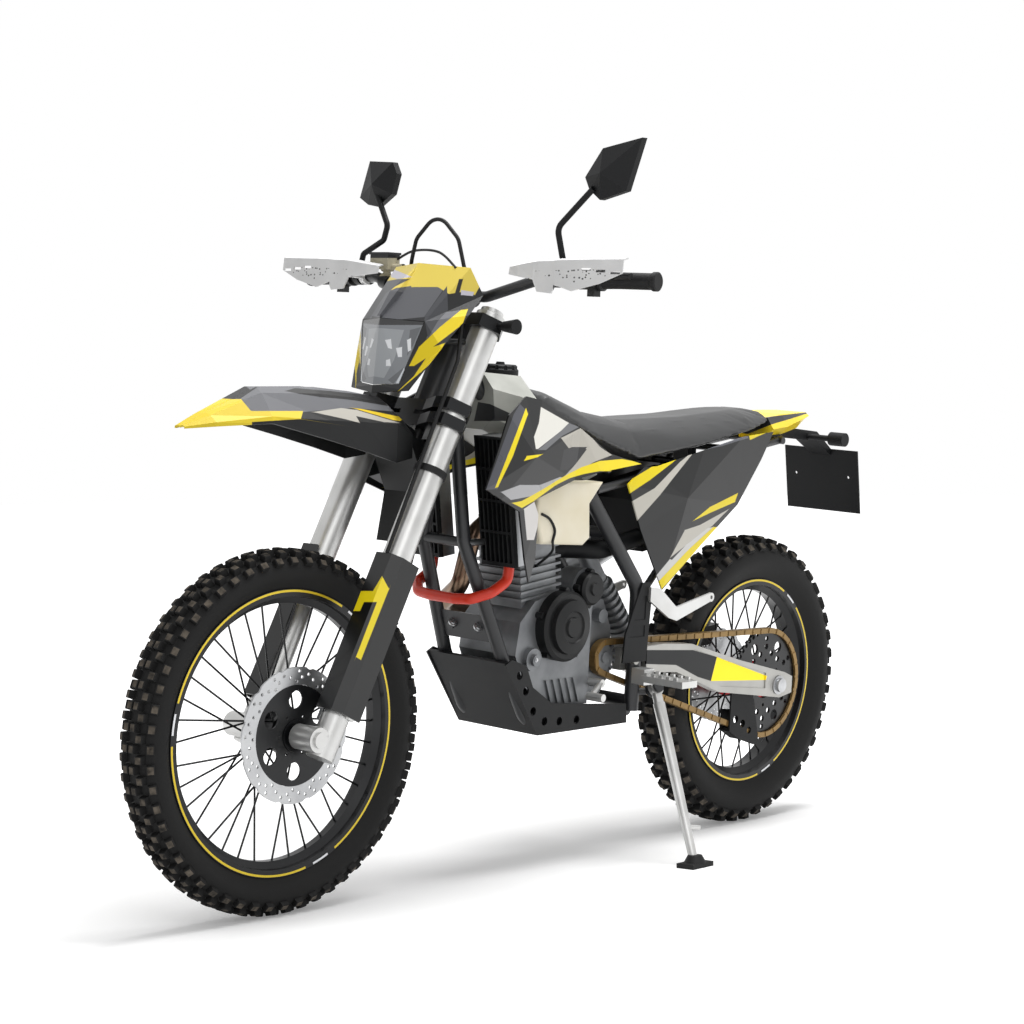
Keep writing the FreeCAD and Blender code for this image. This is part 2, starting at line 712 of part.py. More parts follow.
down = PARK.inverse().Rotation.multVec(V(0, 0, -1))
sole = Part.makeBox(70, 44, 10, V(-35, -22, 0)).fuse(Part.makeCone(24, 15, 16, V(0, 0, 9), V(0, 0, 1)))
sole = sole.removeSplitter()
sole.Placement = Place(foot, Turn(V(0, 0, -1), down))
lug_face = rod(STAND_PIVOT - STAND_AXIS * 6, STAND_PIVOT + STAND_AXIS * 6, 17)
neck = rod(STAND_PIVOT + leg_dir * 6, STAND_PIVOT + leg_dir * 42, 11).common(
    rod(STAND_PIVOT - STAND_AXIS * 6, STAND_PIVOT + STAND_AXIS * 6, 60))
leg_bar = Part.makeCone(13, 9.5, (foot - STAND_PIVOT).Length - 36 - 14, STAND_PIVOT + leg_dir * 36, leg_dir)
fold_tab = rod(foot - leg_dir * 88, foot - leg_dir * 84 + V(-34, 8, 0), 5)
stand_leg = fuse(lug_face, neck, leg_bar, fold_tab).cut(
    rod(STAND_PIVOT - STAND_AXIS * 20, STAND_PIVOT + STAND_AXIS * 20, PIN + 0.3))
sole_socket = rod(foot - leg_dir * 60, foot - leg_dir * 13, 10.8)
node("stand_foot", sole.cut(sole_socket))
node("stand_leg", stand_leg)

# Rear subframe of thin tube under the seat, with seat bolts across it.
RAIL = [mid(-62, 94, 800), mid(-330, 90, 838), mid(-760, 70, 900)]
STRUT = [mid(-228, 92, 560), mid(-420, 86, 745), mid(-560, 80, 872)]
rail = tube(RAIL, 9, 60).cut(tube(SPAR, TUBE + 0.6, 60))
strut = tube(STRUT, 8, 60).cut(tube(SPAR, TUBE + 0.6, 60))
SEAT_POSTS = ((-420, 851), (-600, 877), (-745, 898))
seat_posts = [rod(mid(x, -86, z), mid(x, 86, z), 8) for x, z in SEAT_POSTS]
seat_pads = [Part.makeBox(30, 40, 40, mid(-435, y, 848.4)) for y in (-70, 30)]
node("rear_subframe", fuse(rail, mirrored(rail), strut, mirrored(strut), *seat_posts, *seat_pads))

# Engine: crankcase halves, upright cylinder with a finned jacket, and cylinder head.
case_front = plate([(-90, 344.4), (50, 344.4), (118, 398), (150, 462), (140, 530), (96, 572), (20, 590),
                    (-90, 580)], -CASE, CASE, MID_SHIFT)
case_rear = plate([(-185, 400), (-150, 356), (-90, 344.4), (-90, 580), (-150, 560), (-178, 500)],
                  -CASE, CASE - 18, MID_SHIFT)
jacket = [Part.makeBox(128, 128, 5, V(-64, -64, 18 + 15 * k)) for k in range(6)]
top_end = fuse(Part.makeBox(112, 112, 130, V(-56, -56, 0)), Part.makeBox(132, 118, 30, V(-66, -59, 116)),
               Part.makeBox(120, 104, 44, V(-60, -52, 146)), Part.makeBox(96, 84, 18, V(-48, -42, 190)), *jacket)
top_end = fuse(top_end, *[Part.makeCylinder(7, 40, V(x, y, 146), V(0, 0, 1)) for x in (-56, 56) for y in (-46, 46)])
top_end.Placement = Place(mid(58, 0, 560), Turn(V(0, 0, 1), V(0.12, 0, 1)))
ribs = [plate([(x, 352), (x + 5, 352), (x + 26, 404), (x + 21, 404)], CASE - 1, CASE + 5, MID_SHIFT)
        for x in (-60, -38, -16, 6, 28)]
pump = [lateral(mid(104, 0, 452), 24, CASE - 1, CASE + 12), lateral(mid(104, 0, 452), 12, CASE + 11, CASE + 20),
        lateral(mid(-128, 0, 528), 15, CASE - 19, CASE + 2), lateral(mid(-64, 0, 592), 42, 30, CASE)]
pivot_room = lateral(PIVOT, 30, -100, 100)
node("engine_cases", fuse(case_front, case_rear, top_end, *ribs, *pump).cut(CRADLE_ROOM).cut(pivot_room))


def cover(label, centre, profile, ears, ear_ring, low, high):
    """A turned engine cover with screw ears round its rim."""
    owner = body(label, Place(centre, Turn()), named=False)
    turned(owner, profile)
    if ears:
        drawing = sketch(owner, "XZ_Plane", [at(ear_ring, 20 if ears == 5 else 5) + (7,)], f"-({high})")
        ear = bind(owner.newObject("PartDesign::Pad", "ear"), Profile=drawing, Length=f"({high}) - ({low})")
        around(owner, [ear], ears)
    return owner


SEATED = "Sizes.case_half + 0.3"
ignition = cover("ignition_cover", mid(18, 0, 518), [
    (0, SEATED), ("Sizes.cover_radius", SEATED), ("Sizes.cover_radius", 102),
    ("Sizes.cover_radius - 6", 108), ("Sizes.cover_radius - 16", 108), ("Sizes.cover_radius - 18", 118),
    ("Sizes.cover_radius - 40", 122), ("Sizes.cover_radius - 42", 119), ("Sizes.cover_radius - 52", 119),
    ("Sizes.cover_radius - 54", 123), (0, 123)], 5, "Sizes.cover_radius", SEATED, 96)
starter = cover("starter_cover", mid(-64, 0, 592), [(0, SEATED), (35, SEATED), (35, 98), (30, 104),
                                                     (14, 104), (12, 108), (0, 108)], 4, 35, SEATED, 94)
clutch = cover("clutch_cover", mid(-62, 0, 470), [
    (0, "-(Sizes.case_half + 0.3)"), ("Sizes.clutch_radius", "-(Sizes.case_half + 0.3)"),
    ("Sizes.clutch_radius", -98), ("Sizes.clutch_radius - 12", -108), (30, -108), (28, -112), (0, -112)],
    0, 0, 0, 0)
group("engine_covers", [ignition, starter, clutch])

node("intake", fuse(tube([mid(24, 0, 668), mid(-60, 8, 668), mid(-130, 58, 668), mid(-262, 58, 690)], 20, 40),
                    plate([(-260, 660), (-250, 770), (-300, 804), (-470, 834), (-470, 700)], -72, 72.9,
                          MID_SHIFT)).cut(top_end))
PIPE = size("header_radius")
HEADER = [mid(150, 0, 745), mid(205, -8, 705), mid(205, -34, 600), mid(165, -125, 545), mid(40, -136, 520),
          mid(-120, -136, 545), mid(-250, -150, 602)]
header = tube(HEADER, PIPE, 45)
CAN_START = mid(-250.5, -150, 602.2)
CAN_DIR = V(-390, 0, 148).normalize()
can_room = rod(CAN_START, CAN_START + CAN_DIR * 420, size("silencer_radius"))
node("exhaust_header", header.cut(top_end).cut(can_room))
silencer = body("silencer", PARK.multiply(Place(CAN_START, Turn(V(0, -1, 0), CAN_DIR))))
turned(silencer, [(0, 0), ("Sizes.silencer_radius - 20", 0), ("Sizes.silencer_radius", -40),
                  ("Sizes.silencer_radius", -380), ("Sizes.silencer_radius - 12", -405),
                  (22, -417), (22, -400), (0, -400)])

# Bash plate: a bent sheet with cheeks, drain holes and a raised front edge.
skid = body("skid_drawn", Place(MID_SHIFT, Turn()), named=False)
slab(skid, [[(214, 455), (207, 458), (98, 306), (-190, 304), (-190, 298), (104, 298)]], -106, 106)
CHEEK = [(216, 452), (196, 462), (150, 446), (126, 400), (64, 362), (-60, 350), (-185, 340), (-190, 298), (104, 298)]
slab(skid, [CHEEK], 106, 110)
slab(skid, [CHEEK], -110, -106)
slots(skid, [(170, 428, "Sizes.skid_hole"), (148, 394, "Sizes.skid_hole"), (122, 350, "Sizes.skid_hole"),
             (84, 326, "Sizes.skid_hole"), (36, 322, "Sizes.skid_hole"), (-20, 320, "Sizes.skid_hole")],
      -112, 112)
trimmed("skid_plate", skid, CRADLE_ROOM)

# Radiators on the down tubes, each behind a black grille, joined by a red hose at the foot.
radiator = plate([(195, 660), (232, 655), (275, 915), (238, 920)], 62, 138, NOSE_SHIFT)
lug = tube([nose(232, 64, 700), nose(262, 64, 700), nose(300, 62, 700)], 7, 5)
node("radiators", both(fuse(radiator, lug).cut(CRADLE_ROOM).cut(
    rod(nose(300, -60, 700), nose(300, 60, 700), 10.3))))
grille = body("grille", Place(NOSE_SHIFT, Turn()), named=False)
slab(grille, [[(233.5, 655), (246, 655), (290, 915), (276.5, 915)]], 58, 146)
windows = [[(62, z), (70, z), (70, z + 58), (62, z + 58)] for z in (663, 726, 789, 852)]
window = bind(grille.newObject("PartDesign::Pocket", "windows"), Profile=sketch(grille, "YZ_Plane", windows),
              Type=1, Midplane=True)
row = grille.newObject("PartDesign::LinearPattern", "row")
row.Originals = [window]
row.Direction = (origin(grille, "Y_Axis"), [""])
bind(row, Length=70.2, Occurrences=7)
grille.Tip = row
lug_knife = doc.addObject("Part::Feature", "grille_room")
lug_knife.Shape = tube([nose(225, 64, 700), nose(262, 64, 700), nose(310, 62, 700)], 7.4, 5)
fitted = doc.addObject("Part::Cut", "grille_fitted")
fitted.Base = grille
fitted.Tool = lug_knife
pair("radiator_louvres", fitted)
node("coolant_hoses", tube([nose(214, -104, 654.5), nose(217, -104, 624), nose(262, -101, 601),
                            nose(290, -72, 587), nose(295, -34, 584), nose(295, 34, 584),
                            nose(290, 72, 587), nose(262, 101, 601), nose(217, 104, 624),
                            nose(214, 104, 654.5)], 11, 24))


# Bodywork. A panel that spans from the engine to the steering head follows both.
def flow(x, y, z):
    """A drawn point moved with the swingarm pivot, the steering head or between them."""
    share = min(max((x + 20) / 240, 0), 1)
    return V(x, y, z) + MID_SHIFT * (1 - share) + NOSE_SHIFT * share


def bulged(stations):
    """A closed shape through upright eight-cornered sections at stations along X."""
    sections = []
    for x, low, w1, side, w2, high, w3, top, w4 in stations:
        corners = [(-w1, low), (w1, low), (w2, side), (w3, high), (w4, top), (-w4, top), (-w3, high), (-w2, side)]
        sections.append([flow(x, y, z) for y, z in corners])
    return loft(sections)


def rounded(owner, feature, radius, y):
    """Rounded edges where a slab meets the plane at y."""
    doc.recompute()
    names = [f"Edge{k}" for k, edge in enumerate(feature.Shape.Edges, 1)
             if all(abs(corner.Y - number(y)) < 0.01 for corner in edge.Vertexes)]
    fillet = owner.newObject("PartDesign::Fillet", "rounded")
    fillet.Base = (feature, names)
    return bind(fillet, Radius=radius)


CAP = size("cap_radius")
frame_room = fuse(SPAR_ROOM, CRADLE_ROOM, rod(fork_point(LOWER - 149), fork_point(UPPER + 52), 36))
tank = bulged([(252, 925, 46, 950, 78, 1008, 70, 1040, 40), (150, 882, 62, 902, 118, 985, 104, 1034, 52),
               (128, 872, 62, 893, 117, 972, 100, 1001, 52),
               (60, 832, 62, 862, 116, 935, 92, 958, 50), (-70, 812, 50, 832, 88, 862, 80, 872, 50)])
node("fuel_tank", tank.cut(frame_room).cut(rod(flow(155, 0, 1030), flow(155, 0, 1060), CAP + 0.3)))
tank_cap = body("tank_cap", PARK.multiply(Place(flow(155, 0, 1030.3), Turn(V(0, 1, 0), V(0, 0, 1)))))
turned(tank_cap, [(0, 0), ("Sizes.cap_radius", 0), ("Sizes.cap_radius", 14), ("Sizes.cap_radius - 3", 17),
                  ("Sizes.cap_radius - 3", 22), ("Sizes.cap_radius - 6", 24.7), (10, 24.7), (8, 30), (0, 30)])
around(tank_cap, [slots(tank_cap, [at("Sizes.cap_radius - 1", 0) + (4,)], 14.5, 26)], 12)
side_body = body("side_drawn", Place(NOSE_SHIFT, Turn()), named=False)
side_slab = slab(side_body, [[(176, 828), (-30, 822), (12, 777), (6, 706), (27, 692), (160, 699), (180, 750)]],
                 100, 142)
rounded(side_body, side_slab, 7, 142)
trimmed("side_tank", side_body, fuse(both(tube(SPAR, TUBE + 1, 60)), both(radiator)))

SHROUD = [(228, 138, 998), (300, 158, 962), (391, 188, 820), (340, 184, 798), (272, 174, 772), (244, 170, 675),
          (219, 162, 627), (204, 163, 672), (205, 166, 763), (223, 168, 792), (80, 152, 829), (-15, 144, 843),
          (-173, 124, 856), (-57, 130, 880), (46, 134, 932), (177, 136, 990), (230, 176, 880)]
SHROUD_FACES = [(16, 0, 1), (16, 1, 2), (16, 2, 3), (16, 3, 9), (16, 9, 10), (16, 10, 14),
                (16, 14, 15), (16, 15, 0), (10, 11, 14), (11, 13, 14), (11, 12, 13), (3, 4, 9),
                (4, 8, 9), (4, 5, 8), (5, 7, 8), (5, 6, 7)]
shroud = skin([flow(*corner) for corner in SHROUD], SHROUD_FACES, 4, V(0, 1, 0))
shroud_posts = [lateral(flow(247, 0, 850), 8, 138.3, 172), lateral(flow(-58, 0, 846), 7, 84, 130)]
node("tank_shrouds", both(fuse(shroud, *shroud_posts).cut(tank).cut(lateral(flow(-58, 0, 846), 7.2, 84, 88.6))))

seat = bulged([(126, 1003, 20, 1005, 34, 1010, 32, 1013, 24), (60, 962, 60, 964, 70, 990, 58, 1000, 40),
               (-60, 904, 84, 908, 100, 945, 78, 956, 56), (-185, 862, 96, 868, 112, 925, 84, 938, 62),
               (-400, 888, 98, 893, 112, 934, 88, 946, 66), (-600, 922, 90, 926, 102, 952, 82, 962, 62),
               (-692, 940, 72, 943, 80, 956, 66, 964, 50)])
node("seat", seat)
PANEL = [(-142, 116, 812), (-190, 118, 848), (-237, 120, 850), (-394, 122, 882), (-546, 116, 910),
         (-675, 106, 920), (-631, 108, 858), (-542, 114, 759), (-409, 118, 674), (-281, 116, 581),
         (-196, 114, 714), (-330, 134, 780)]
panel = skin([mid(*corner) for corner in PANEL],
             fan(11, [0, 1, 2, 3, 4, 7, 8, 9, 10, 0]) + [(4, 5, 6), (4, 6, 7)], 4, V(0, 1, 0))
panel = fuse(panel, lateral(mid(-330, 0, 838), 8, 92, 124), lateral(mid(-590, 0, 876), 7, 86, 110)).cut(
    tube(RAIL, 9.3, 60))
wide_can = rod(CAN_START - CAN_DIR * 50, CAN_START + CAN_DIR * 440, size("silencer_radius") + 6)
panel_right = mirrored(panel).cut(wide_can)
node("side_panels", Part.makeCompound([panel, panel_right]))


def tail_section(x, low, edge, top, half):
    corners = [(-half * 0.8, low), (half * 0.8, low), (half, edge), (half * 0.8, top), (-half * 0.8, top), (-half, edge)]
    return [mid(x, y, z) for y, z in corners]


tail = loft([tail_section(-694, 909.4, 925, 950, 92), tail_section(-760, 912, 930, 958, 84),
             tail_section(-840, 925, 945, 960, 68), tail_section(-892, 948, 953, 961, 52)])
tail = tail.cut(fuse(rail, mirrored(rail), *seat_posts)).fuse(
    Part.makeBox(30, 60, 16, mid(-760, -30, 899))).cut(rod(mid(-745, -90, 898), mid(-745, 90, 898), 8.3))
node("rear_fender", tail)

# Plate holder under the tail: a bent arm, the plate on its slope and two indicator stalks.
PLATE_HALF = size("plate_half")
holder = plate([(-775, 902), (-775, 914), (-830, 925), (-965, 914), (-1035, 868), (-1038, 852),
                (-960, 892), (-835, 900)], -28, 28, MID_SHIFT)
holder = fuse(holder, plate([(-1030, 872), (-1026, 872), (-1054, 722), (-1058, 722)], -PLATE_HALF, PLATE_HALF,
                            MID_SHIFT))
PLATE_SLOPE = math.atan2(28, 150)
bolt_dir = V(-math.cos(PLATE_SLOPE), 0, math.sin(PLATE_SLOPE))
for side in (-1, 1):
    spot = mid(-1040, side * size("plate_bolt_half"), 807)
    holder = holder.cut(rod(spot - bolt_dir * 60, spot + bolt_dir * 60, size("plate_bolt")))
stub = rod(mid(-930, 20, 902), mid(-930, 92, 902), 7).fuse(rod(mid(-930, 92, 902), mid(-930, 132, 902), 16))
tail_room = tail.copy()
tail_room.translate(V(0, 0, -0.3))
node("plate_holder", fuse(holder, stub, mirrored(stub)).cut(tail_room).cut(tail))

# Swingarm: two alloy legs with recessed faces, joined by a bridge, narrow at the pivot.
ARM = [(-240, 460), (-300, 462), (-400, 455), (-581, 406), (-764, 364), (-796, 352), (-796, 314),
       (-749, 306), (-512, 338), (-350, 396), (-240, 404)]
ARM_RECESS = [(-410, 442), (-575, 396), (-690, 368), (-690, 332), (-520, 350), (-410, 386)]


def arm_spot(x, z):
    """A corner of the arm: it follows the pivot at its front and the axle at its rear."""
    share = min(max((-x - 330) / 300, 0), 1)
    moved = V(x, 0, z) + MID_SHIFT * (1 - share) + REAR_SHIFT * share
    return moved.x, moved.z


arm_left = body("arm_drawn", Place(), named=False)
slab(arm_left, [[arm_spot(*corner) for corner in ARM]], "Sizes.arm_inner", "Sizes.arm_outer")
slots(arm_left, [[arm_spot(*corner) for corner in ARM_RECESS]], "Sizes.arm_outer - 2.5", "Sizes.arm_outer + 1")
doc.recompute()
ARM_IN, ARM_OUT = size("arm_inner"), size("arm_outer")
arm = arm_left.Shape
front_arm = plate([(-190, 455), (-300, 455), (-300, 402), (-190, 408)], 62, ARM_IN - 5, MID_SHIFT).fuse(
    plate([(-240, 455), (-300, 455), (-300, 402), (-240, 408)], 62, ARM_IN + 2, MID_SHIFT))
bridge = Part.makeBox(60, 2 * ARM_IN + 4, 50, mid(-345, -ARM_IN - 2, 402))
swing = fuse(arm, mirrored(arm), front_arm, mirrored(front_arm), bridge)
AXLE = size("axle_radius")
swing = swing.cut(lateral(REAR_AXLE, AXLE + 0.3, -130, 130))
node("swingarm", swing.cut(lateral(PINION, 44, 60, 90)).fuse(
    lateral(PIVOT, size("pivot_radius"), -ARM_OUT, ARM_OUT)))
rear_axle = body("rear_axle", PARK.multiply(Place(REAR_AXLE, Turn())))
turned(rear_axle, [(0, -126), ("Sizes.axle_radius", -126), ("Sizes.axle_radius + 7", -125),
                   ("Sizes.axle_radius + 7", "-(Sizes.arm_outer + 0.3)"),
                   ("Sizes.axle_radius", "-(Sizes.arm_outer + 0.3)"),
                   ("Sizes.axle_radius", "Sizes.arm_outer + 0.3"),
                   ("Sizes.axle_radius + 12", "Sizes.arm_outer + 0.3"), ("Sizes.axle_radius + 12", 119),
                   ("Sizes.axle_radius + 6", 120), ("Sizes.axle_radius + 6", 128),
                   ("Sizes.axle_radius - 3", 129), (0, 129)])
SHOCK_LOW, SHOCK_TOP = mid(-298, 0, 472), mid(-120, 0, 695)
shock_dir = (SHOCK_TOP - SHOCK_LOW).normalize()
coils = [rod(SHOCK_LOW + shock_dir * (26 + 18 * k), SHOCK_LOW + shock_dir * (34 + 18 * k), 29) for k in range(7)]
shock = fuse(rod(mid(-300, 0, 452.4), mid(-300, 0, 474), 9), rod(SHOCK_LOW, SHOCK_LOW + shock_dir * 18, 27),
             rod(SHOCK_LOW, SHOCK_LOW + shock_dir * 155, 22), *coils,
             rod(SHOCK_LOW + shock_dir * 148, SHOCK_TOP, 20))
node("rear_shock", shock.cut(lateral(mid(-108, 0, 708), 12.3, -30, 30)))

# Footpegs with a toothed top, and the bent brackets of the pillion pegs.
peg = Part.makeBox(52, 112, 14, mid(-235, 146, 392)).fuse(Part.makeBox(34, 34, 34, mid(-224, 116.3, 384)))
teeth = [Part.makeBox(6, 9, 8, mid(x, 152 + 20 * k, 404)) for x in (-233, -191) for k in range(5)]
peg = fuse(peg, *teeth)
BRACKET = [(-228, 590), (-262, 586), (-322, 542), (-442, 566), (-455, 556), (-442, 547),
           (-325, 512), (-296, 520), (-228, 560)]
peg_arm = plate(BRACKET, 120.6, 127, MID_SHIFT).fuse(lateral(mid(-447, 0, 557), 10, 120.6, 127)).removeSplitter()
peg_arm = peg_arm.cut(lateral(mid(-447, 0, 557), size("peg_hole"), 110, 140))
peg_arm_right = mirrored(peg_arm).cut(rod(CAN_START - CAN_DIR * 30, CAN_START + CAN_DIR * 200,
                                          size("silencer_radius") + 4)).cut(header)
peg_arm_right = max(peg_arm_right.Solids, key=lambda piece: piece.Volume)
node("footpegs", Part.makeCompound([peg, mirrored(peg), peg_arm, peg_arm_right]))
guard_left = body("frame_guard_drawn", Place(MID_SHIFT, Turn()), named=False)
slab(guard_left, [[(-232, 600), (-206, 600), (-157, 490), (-152, 430), (-232, 430), (-240, 560)]], 116.3, 120.3)
slots(guard_left, [[(-222, 572), (-210, 572), (-186, 520), (-222, 520)],
                   [(-222, 508), (-180, 508), (-170, 484), (-222, 484)]], 118.8, 121)
pair("frame_guards", guard_left)
gear_lever = fuse(lateral(mid(-98, 0, 390), 9, 60.3, 112).cut(case_front).cut(case_rear),
                  rod(mid(-98, 106, 390), mid(-36, 132, 372), 6), lateral(mid(-36, 0, 372), 8, 124, 166))
brake_pedal = fuse(lateral(mid(-212, 0, 366), 9, -134, -116.3), rod(mid(-212, -128, 366), mid(-30, -136, 372), 6),
                   lateral(mid(-30, 0, 372), 8, -168, -126))
node("foot_controls", Part.makeCompound([gear_lever, brake_pedal]))

GUIDE = [(-600, 335), (-600, 236), (-640, 214), (-700, 196), (-716, 202), (-690, 300), (-660, 345)]
guide = fuse(plate(GUIDE, 83.5, ARM_IN - 0.3, REAR_SHIFT),
             plate([(-600, 285), (-600, 236), (-640, 214), (-650, 230), (-640, 280)], 60, 64.5, REAR_SHIFT),
             plate([(-600, 236), (-640, 214), (-642, 220), (-602, 243)], 60, ARM_IN - 0.3, REAR_SHIFT))
for x, z, radius in ((-622, 262, 9), (-650, 250, 9), (-676, 232, 8)):
    guide = guide.cut(lateral(rear(x, 0, z), radius, 80, 92))
node("chain_guide", guide)
rear_body = body("caliper_drawn", Place(REAR_SHIFT, Turn()), named=False)
slab(rear_body, [[(-690, 412), (-620, 412), (-640, 452), (-720, 460)]], -84, -46)
slab(rear_body, [[(-705, 345), (-650, 345), (-625, 414), (-700, 440)]], "-(Sizes.arm_inner - 0.3)", -82)
slots(rear_body, [(-741, 336, "Sizes.disc_rear + 3")], -64, -56)
rear_body.Label = "rear_caliper"
rear_body.Placement = PARK.multiply(Place(REAR_SHIFT, Turn()))
nodes.append(rear_body)

# Upside-down fork: broad upper tubes in two clamps, slim sliders and axle lugs below.
AXLE_ALONG = (FRONT_AXLE - STEER_FOOT).dot(STEER_DIR)
AXLE_AHEAD = (FRONT_AXLE - STEER_FOOT).dot(STEER_AHEAD)
FOOT = size("tube_foot")
UPPER_TUBE = size("upper_tube_radius")
SLIDER = size("slider_radius")


def leg(low, high, radius):
    return rod(fork_point(low, LEAD, FORK_Y), fork_point(high, LEAD, FORK_Y), radius)


def along_fork(low, side=0.0):
    """A placement whose Z runs up the steering axis and X ahead of it."""
    return STEERED.multiply(Place(fork_point(low, 0, side), Turn(V(0, 0, 1), STEER_DIR)))


outer_tube = body("fork_tube_drawn", Place(fork_point(FOOT, LEAD, FORK_Y), Turn(V(0, 1, 0), STEER_DIR)), named=False)
turned(outer_tube, [(0, 0), ("Sizes.upper_tube_radius - 2", 0), ("Sizes.upper_tube_radius", 2),
                    ("Sizes.upper_tube_radius", "Sizes.lower_clamp + Sizes.clamp_rise + 26 - Sizes.tube_foot"),
                    ("Sizes.upper_tube_radius - 6", "Sizes.lower_clamp + Sizes.clamp_rise + 29 - Sizes.tube_foot"),
                    ("Sizes.upper_tube_radius - 6", "Sizes.lower_clamp + Sizes.clamp_rise + 36 - Sizes.tube_foot"),
                    (0, "Sizes.lower_clamp + Sizes.clamp_rise + 36 - Sizes.tube_foot")])
pair("fork_tubes", outer_tube, STEERED)
lower = leg(AXLE_ALONG - 4, FOOT - 0.2, SLIDER)
lug = lateral(FRONT_AXLE, 24, 66, 126).fuse(
    rod(V(FRONT_AXLE.x, FORK_Y, FRONT_AXLE.z), fork_point(AXLE_ALONG + 20, LEAD, FORK_Y), 22))
shoe = rod(fork_point(AXLE_ALONG - 26, LEAD, FORK_Y), fork_point(AXLE_ALONG + 58, LEAD, FORK_Y), SLIDER + 3)
guard_boss = [rod(fork_point(a, LEAD, FORK_Y), fork_point(a, 54.7, FORK_Y), 7) for a in (450, 640)]
legs = fuse(lower, lug, shoe, *guard_boss)
caliper_boss = Part.makeBox(38, 26, 60, V(-10, 78.3, -30))
caliper_boss.Placement = Place(fork_point(AXLE_ALONG + 96, -14), Turn(V(0, 0, 1), STEER_DIR))
axle = fuse(lateral(FRONT_AXLE, size("axle_radius"), -128, 128), lateral(FRONT_AXLE, 15, 126, 131))
node("fork_legs", fuse(legs, mirrored(legs), axle, caliper_boss), STEERED)


def clamp(along, thick):
    outline = [(LEAD + 38, -FORK_Y - 18), (LEAD + 38, -FORK_Y + 22), (LEAD + 20, -40), (LEAD + 20, 40),
               (LEAD + 38, FORK_Y - 22), (LEAD + 38, FORK_Y + 18), (LEAD - 4, FORK_Y + 40),
               (LEAD - 36, FORK_Y + 10), (-24, 38), (-24, -38), (LEAD - 36, -FORK_Y - 10),
               (LEAD - 4, -FORK_Y - 40)]
    points = [fork_point(along, h, y) for h, y in outline]
    return Part.Face(Part.makePolygon(points + points[:1])).extrude(STEER_DIR * thick)


bores = both(leg(500, UPPER + 152, UPPER_TUBE + 0.3))
clamps = clamp(LOWER - 28, 57).fuse(clamp(UPPER - 12, 26))
band = clamp(LOWER - 4, 9).cut(rod(fork_point(LOWER - 149), fork_point(LOWER + 151), 48))
stem = rod(fork_point(LOWER - 20), fork_point(UPPER + 20), 14)
stem_nut = rod(fork_point(UPPER + 13), fork_point(UPPER + 24), 21)
pinch = [rod(fork_point(LOWER + a, LEAD + 36, y), fork_point(LOWER + a, LEAD + 43, y), 6)
         for a in (-16, 17) for y in (-FORK_Y, FORK_Y)]
node("triple_clamps", fuse(clamps.cut(band), stem, stem_nut, *pinch).cut(bores), STEERED)

# Guards in front of the sliders: a folded section drawn across the steering axis.
GUARD_SECTION = [(-6, 141), (40, 141), (60, 126), (60, 84), (55, 84), (55, 124), (38, 136), (-6, 136)]
guard_body = body("fork_guard_drawn", Place(fork_point(425), Turn(V(0, 0, 1), STEER_DIR)), named=False)
guard_outline = sketch(guard_body, "XY_Plane", [GUARD_SECTION])
bind(guard_body.newObject("PartDesign::Pad", "guard"), Profile=guard_outline, Length=320)
guard_taper = sketch(guard_body, "XZ_Plane", [[(-10, -1), (46, -1), (-10, 60)]], -150)
bind(guard_body.newObject("PartDesign::Pocket", "taper"), Profile=guard_taper, Length=40)
pair("fork_guards", guard_body, STEERED)

front_caliper = body("front_caliper", along_fork(AXLE_ALONG + 96))
caliper_slab = slab(front_caliper, [[(-37, -45), (9, -45), (9, 30), (-6, 45), (-37, 45)]], 40, 78)
rounded(front_caliper, caliper_slab, 5, 78)
slots(front_caliper, [(AXLE_AHEAD, -96, "Sizes.disc_front + 3")], 50, 58)

# Front fender: a long skin whose middle is a channel between two ridges, with a rubber flap.
FENDER = [(991, 930, 6, 931, 10, 931, 14, 929, 14, 925), (940, 953, 10, 955, 24, 950, 42, 938, 42, 930),
          (828, 994, 16, 1002, 34, 992, 66, 950, 70, 937), (690, 993, 18, 1004, 38, 992, 70, 943, 75, 906),
          (600, 986, 18, 997, 40, 985, 72, 940, 75, 884), (518, 978, 18, 986, 38, 976, 75, 936, 75, 862),
          (470, 948, 18, 951, 38, 942, 68, 916, 68, 870)]
rows = []
for x, z0, y1, z1, y2, z2, y3, z3, y4, z4 in FENDER:
    half = [(y4, z4), (y3, z3), (y2, z2), (y1, z1)]
    rows.append([nose(x, -y, z) for y, z in half] + [nose(x, 0, z0)] + [nose(x, y, z) for y, z in reversed(half)])
front_fender = grid_skin(rows, 4, V(0, 0, 1))
flap = plate([(466, 912), (462, 890), (420, 800), (438, 700), (430, 700), (408, 800), (385, 862),
              (400, 890), (440, 906)], -60, 60, NOSE_SHIFT)
flap = flap.fuse(plate([(480, 946), (480, 915), (440, 890), (410, 890), (436, 925)], -34, 34, NOSE_SHIFT))
fender_posts = [rod(fork_point(LOWER - 74, 20, y), fork_point(LOWER - 27, 20, y), 10) for y in (-28, 28)]
node("front_fender", fuse(front_fender, flap, *fender_posts).cut(clamp(LOWER - 28.3, 80)), STEERED)

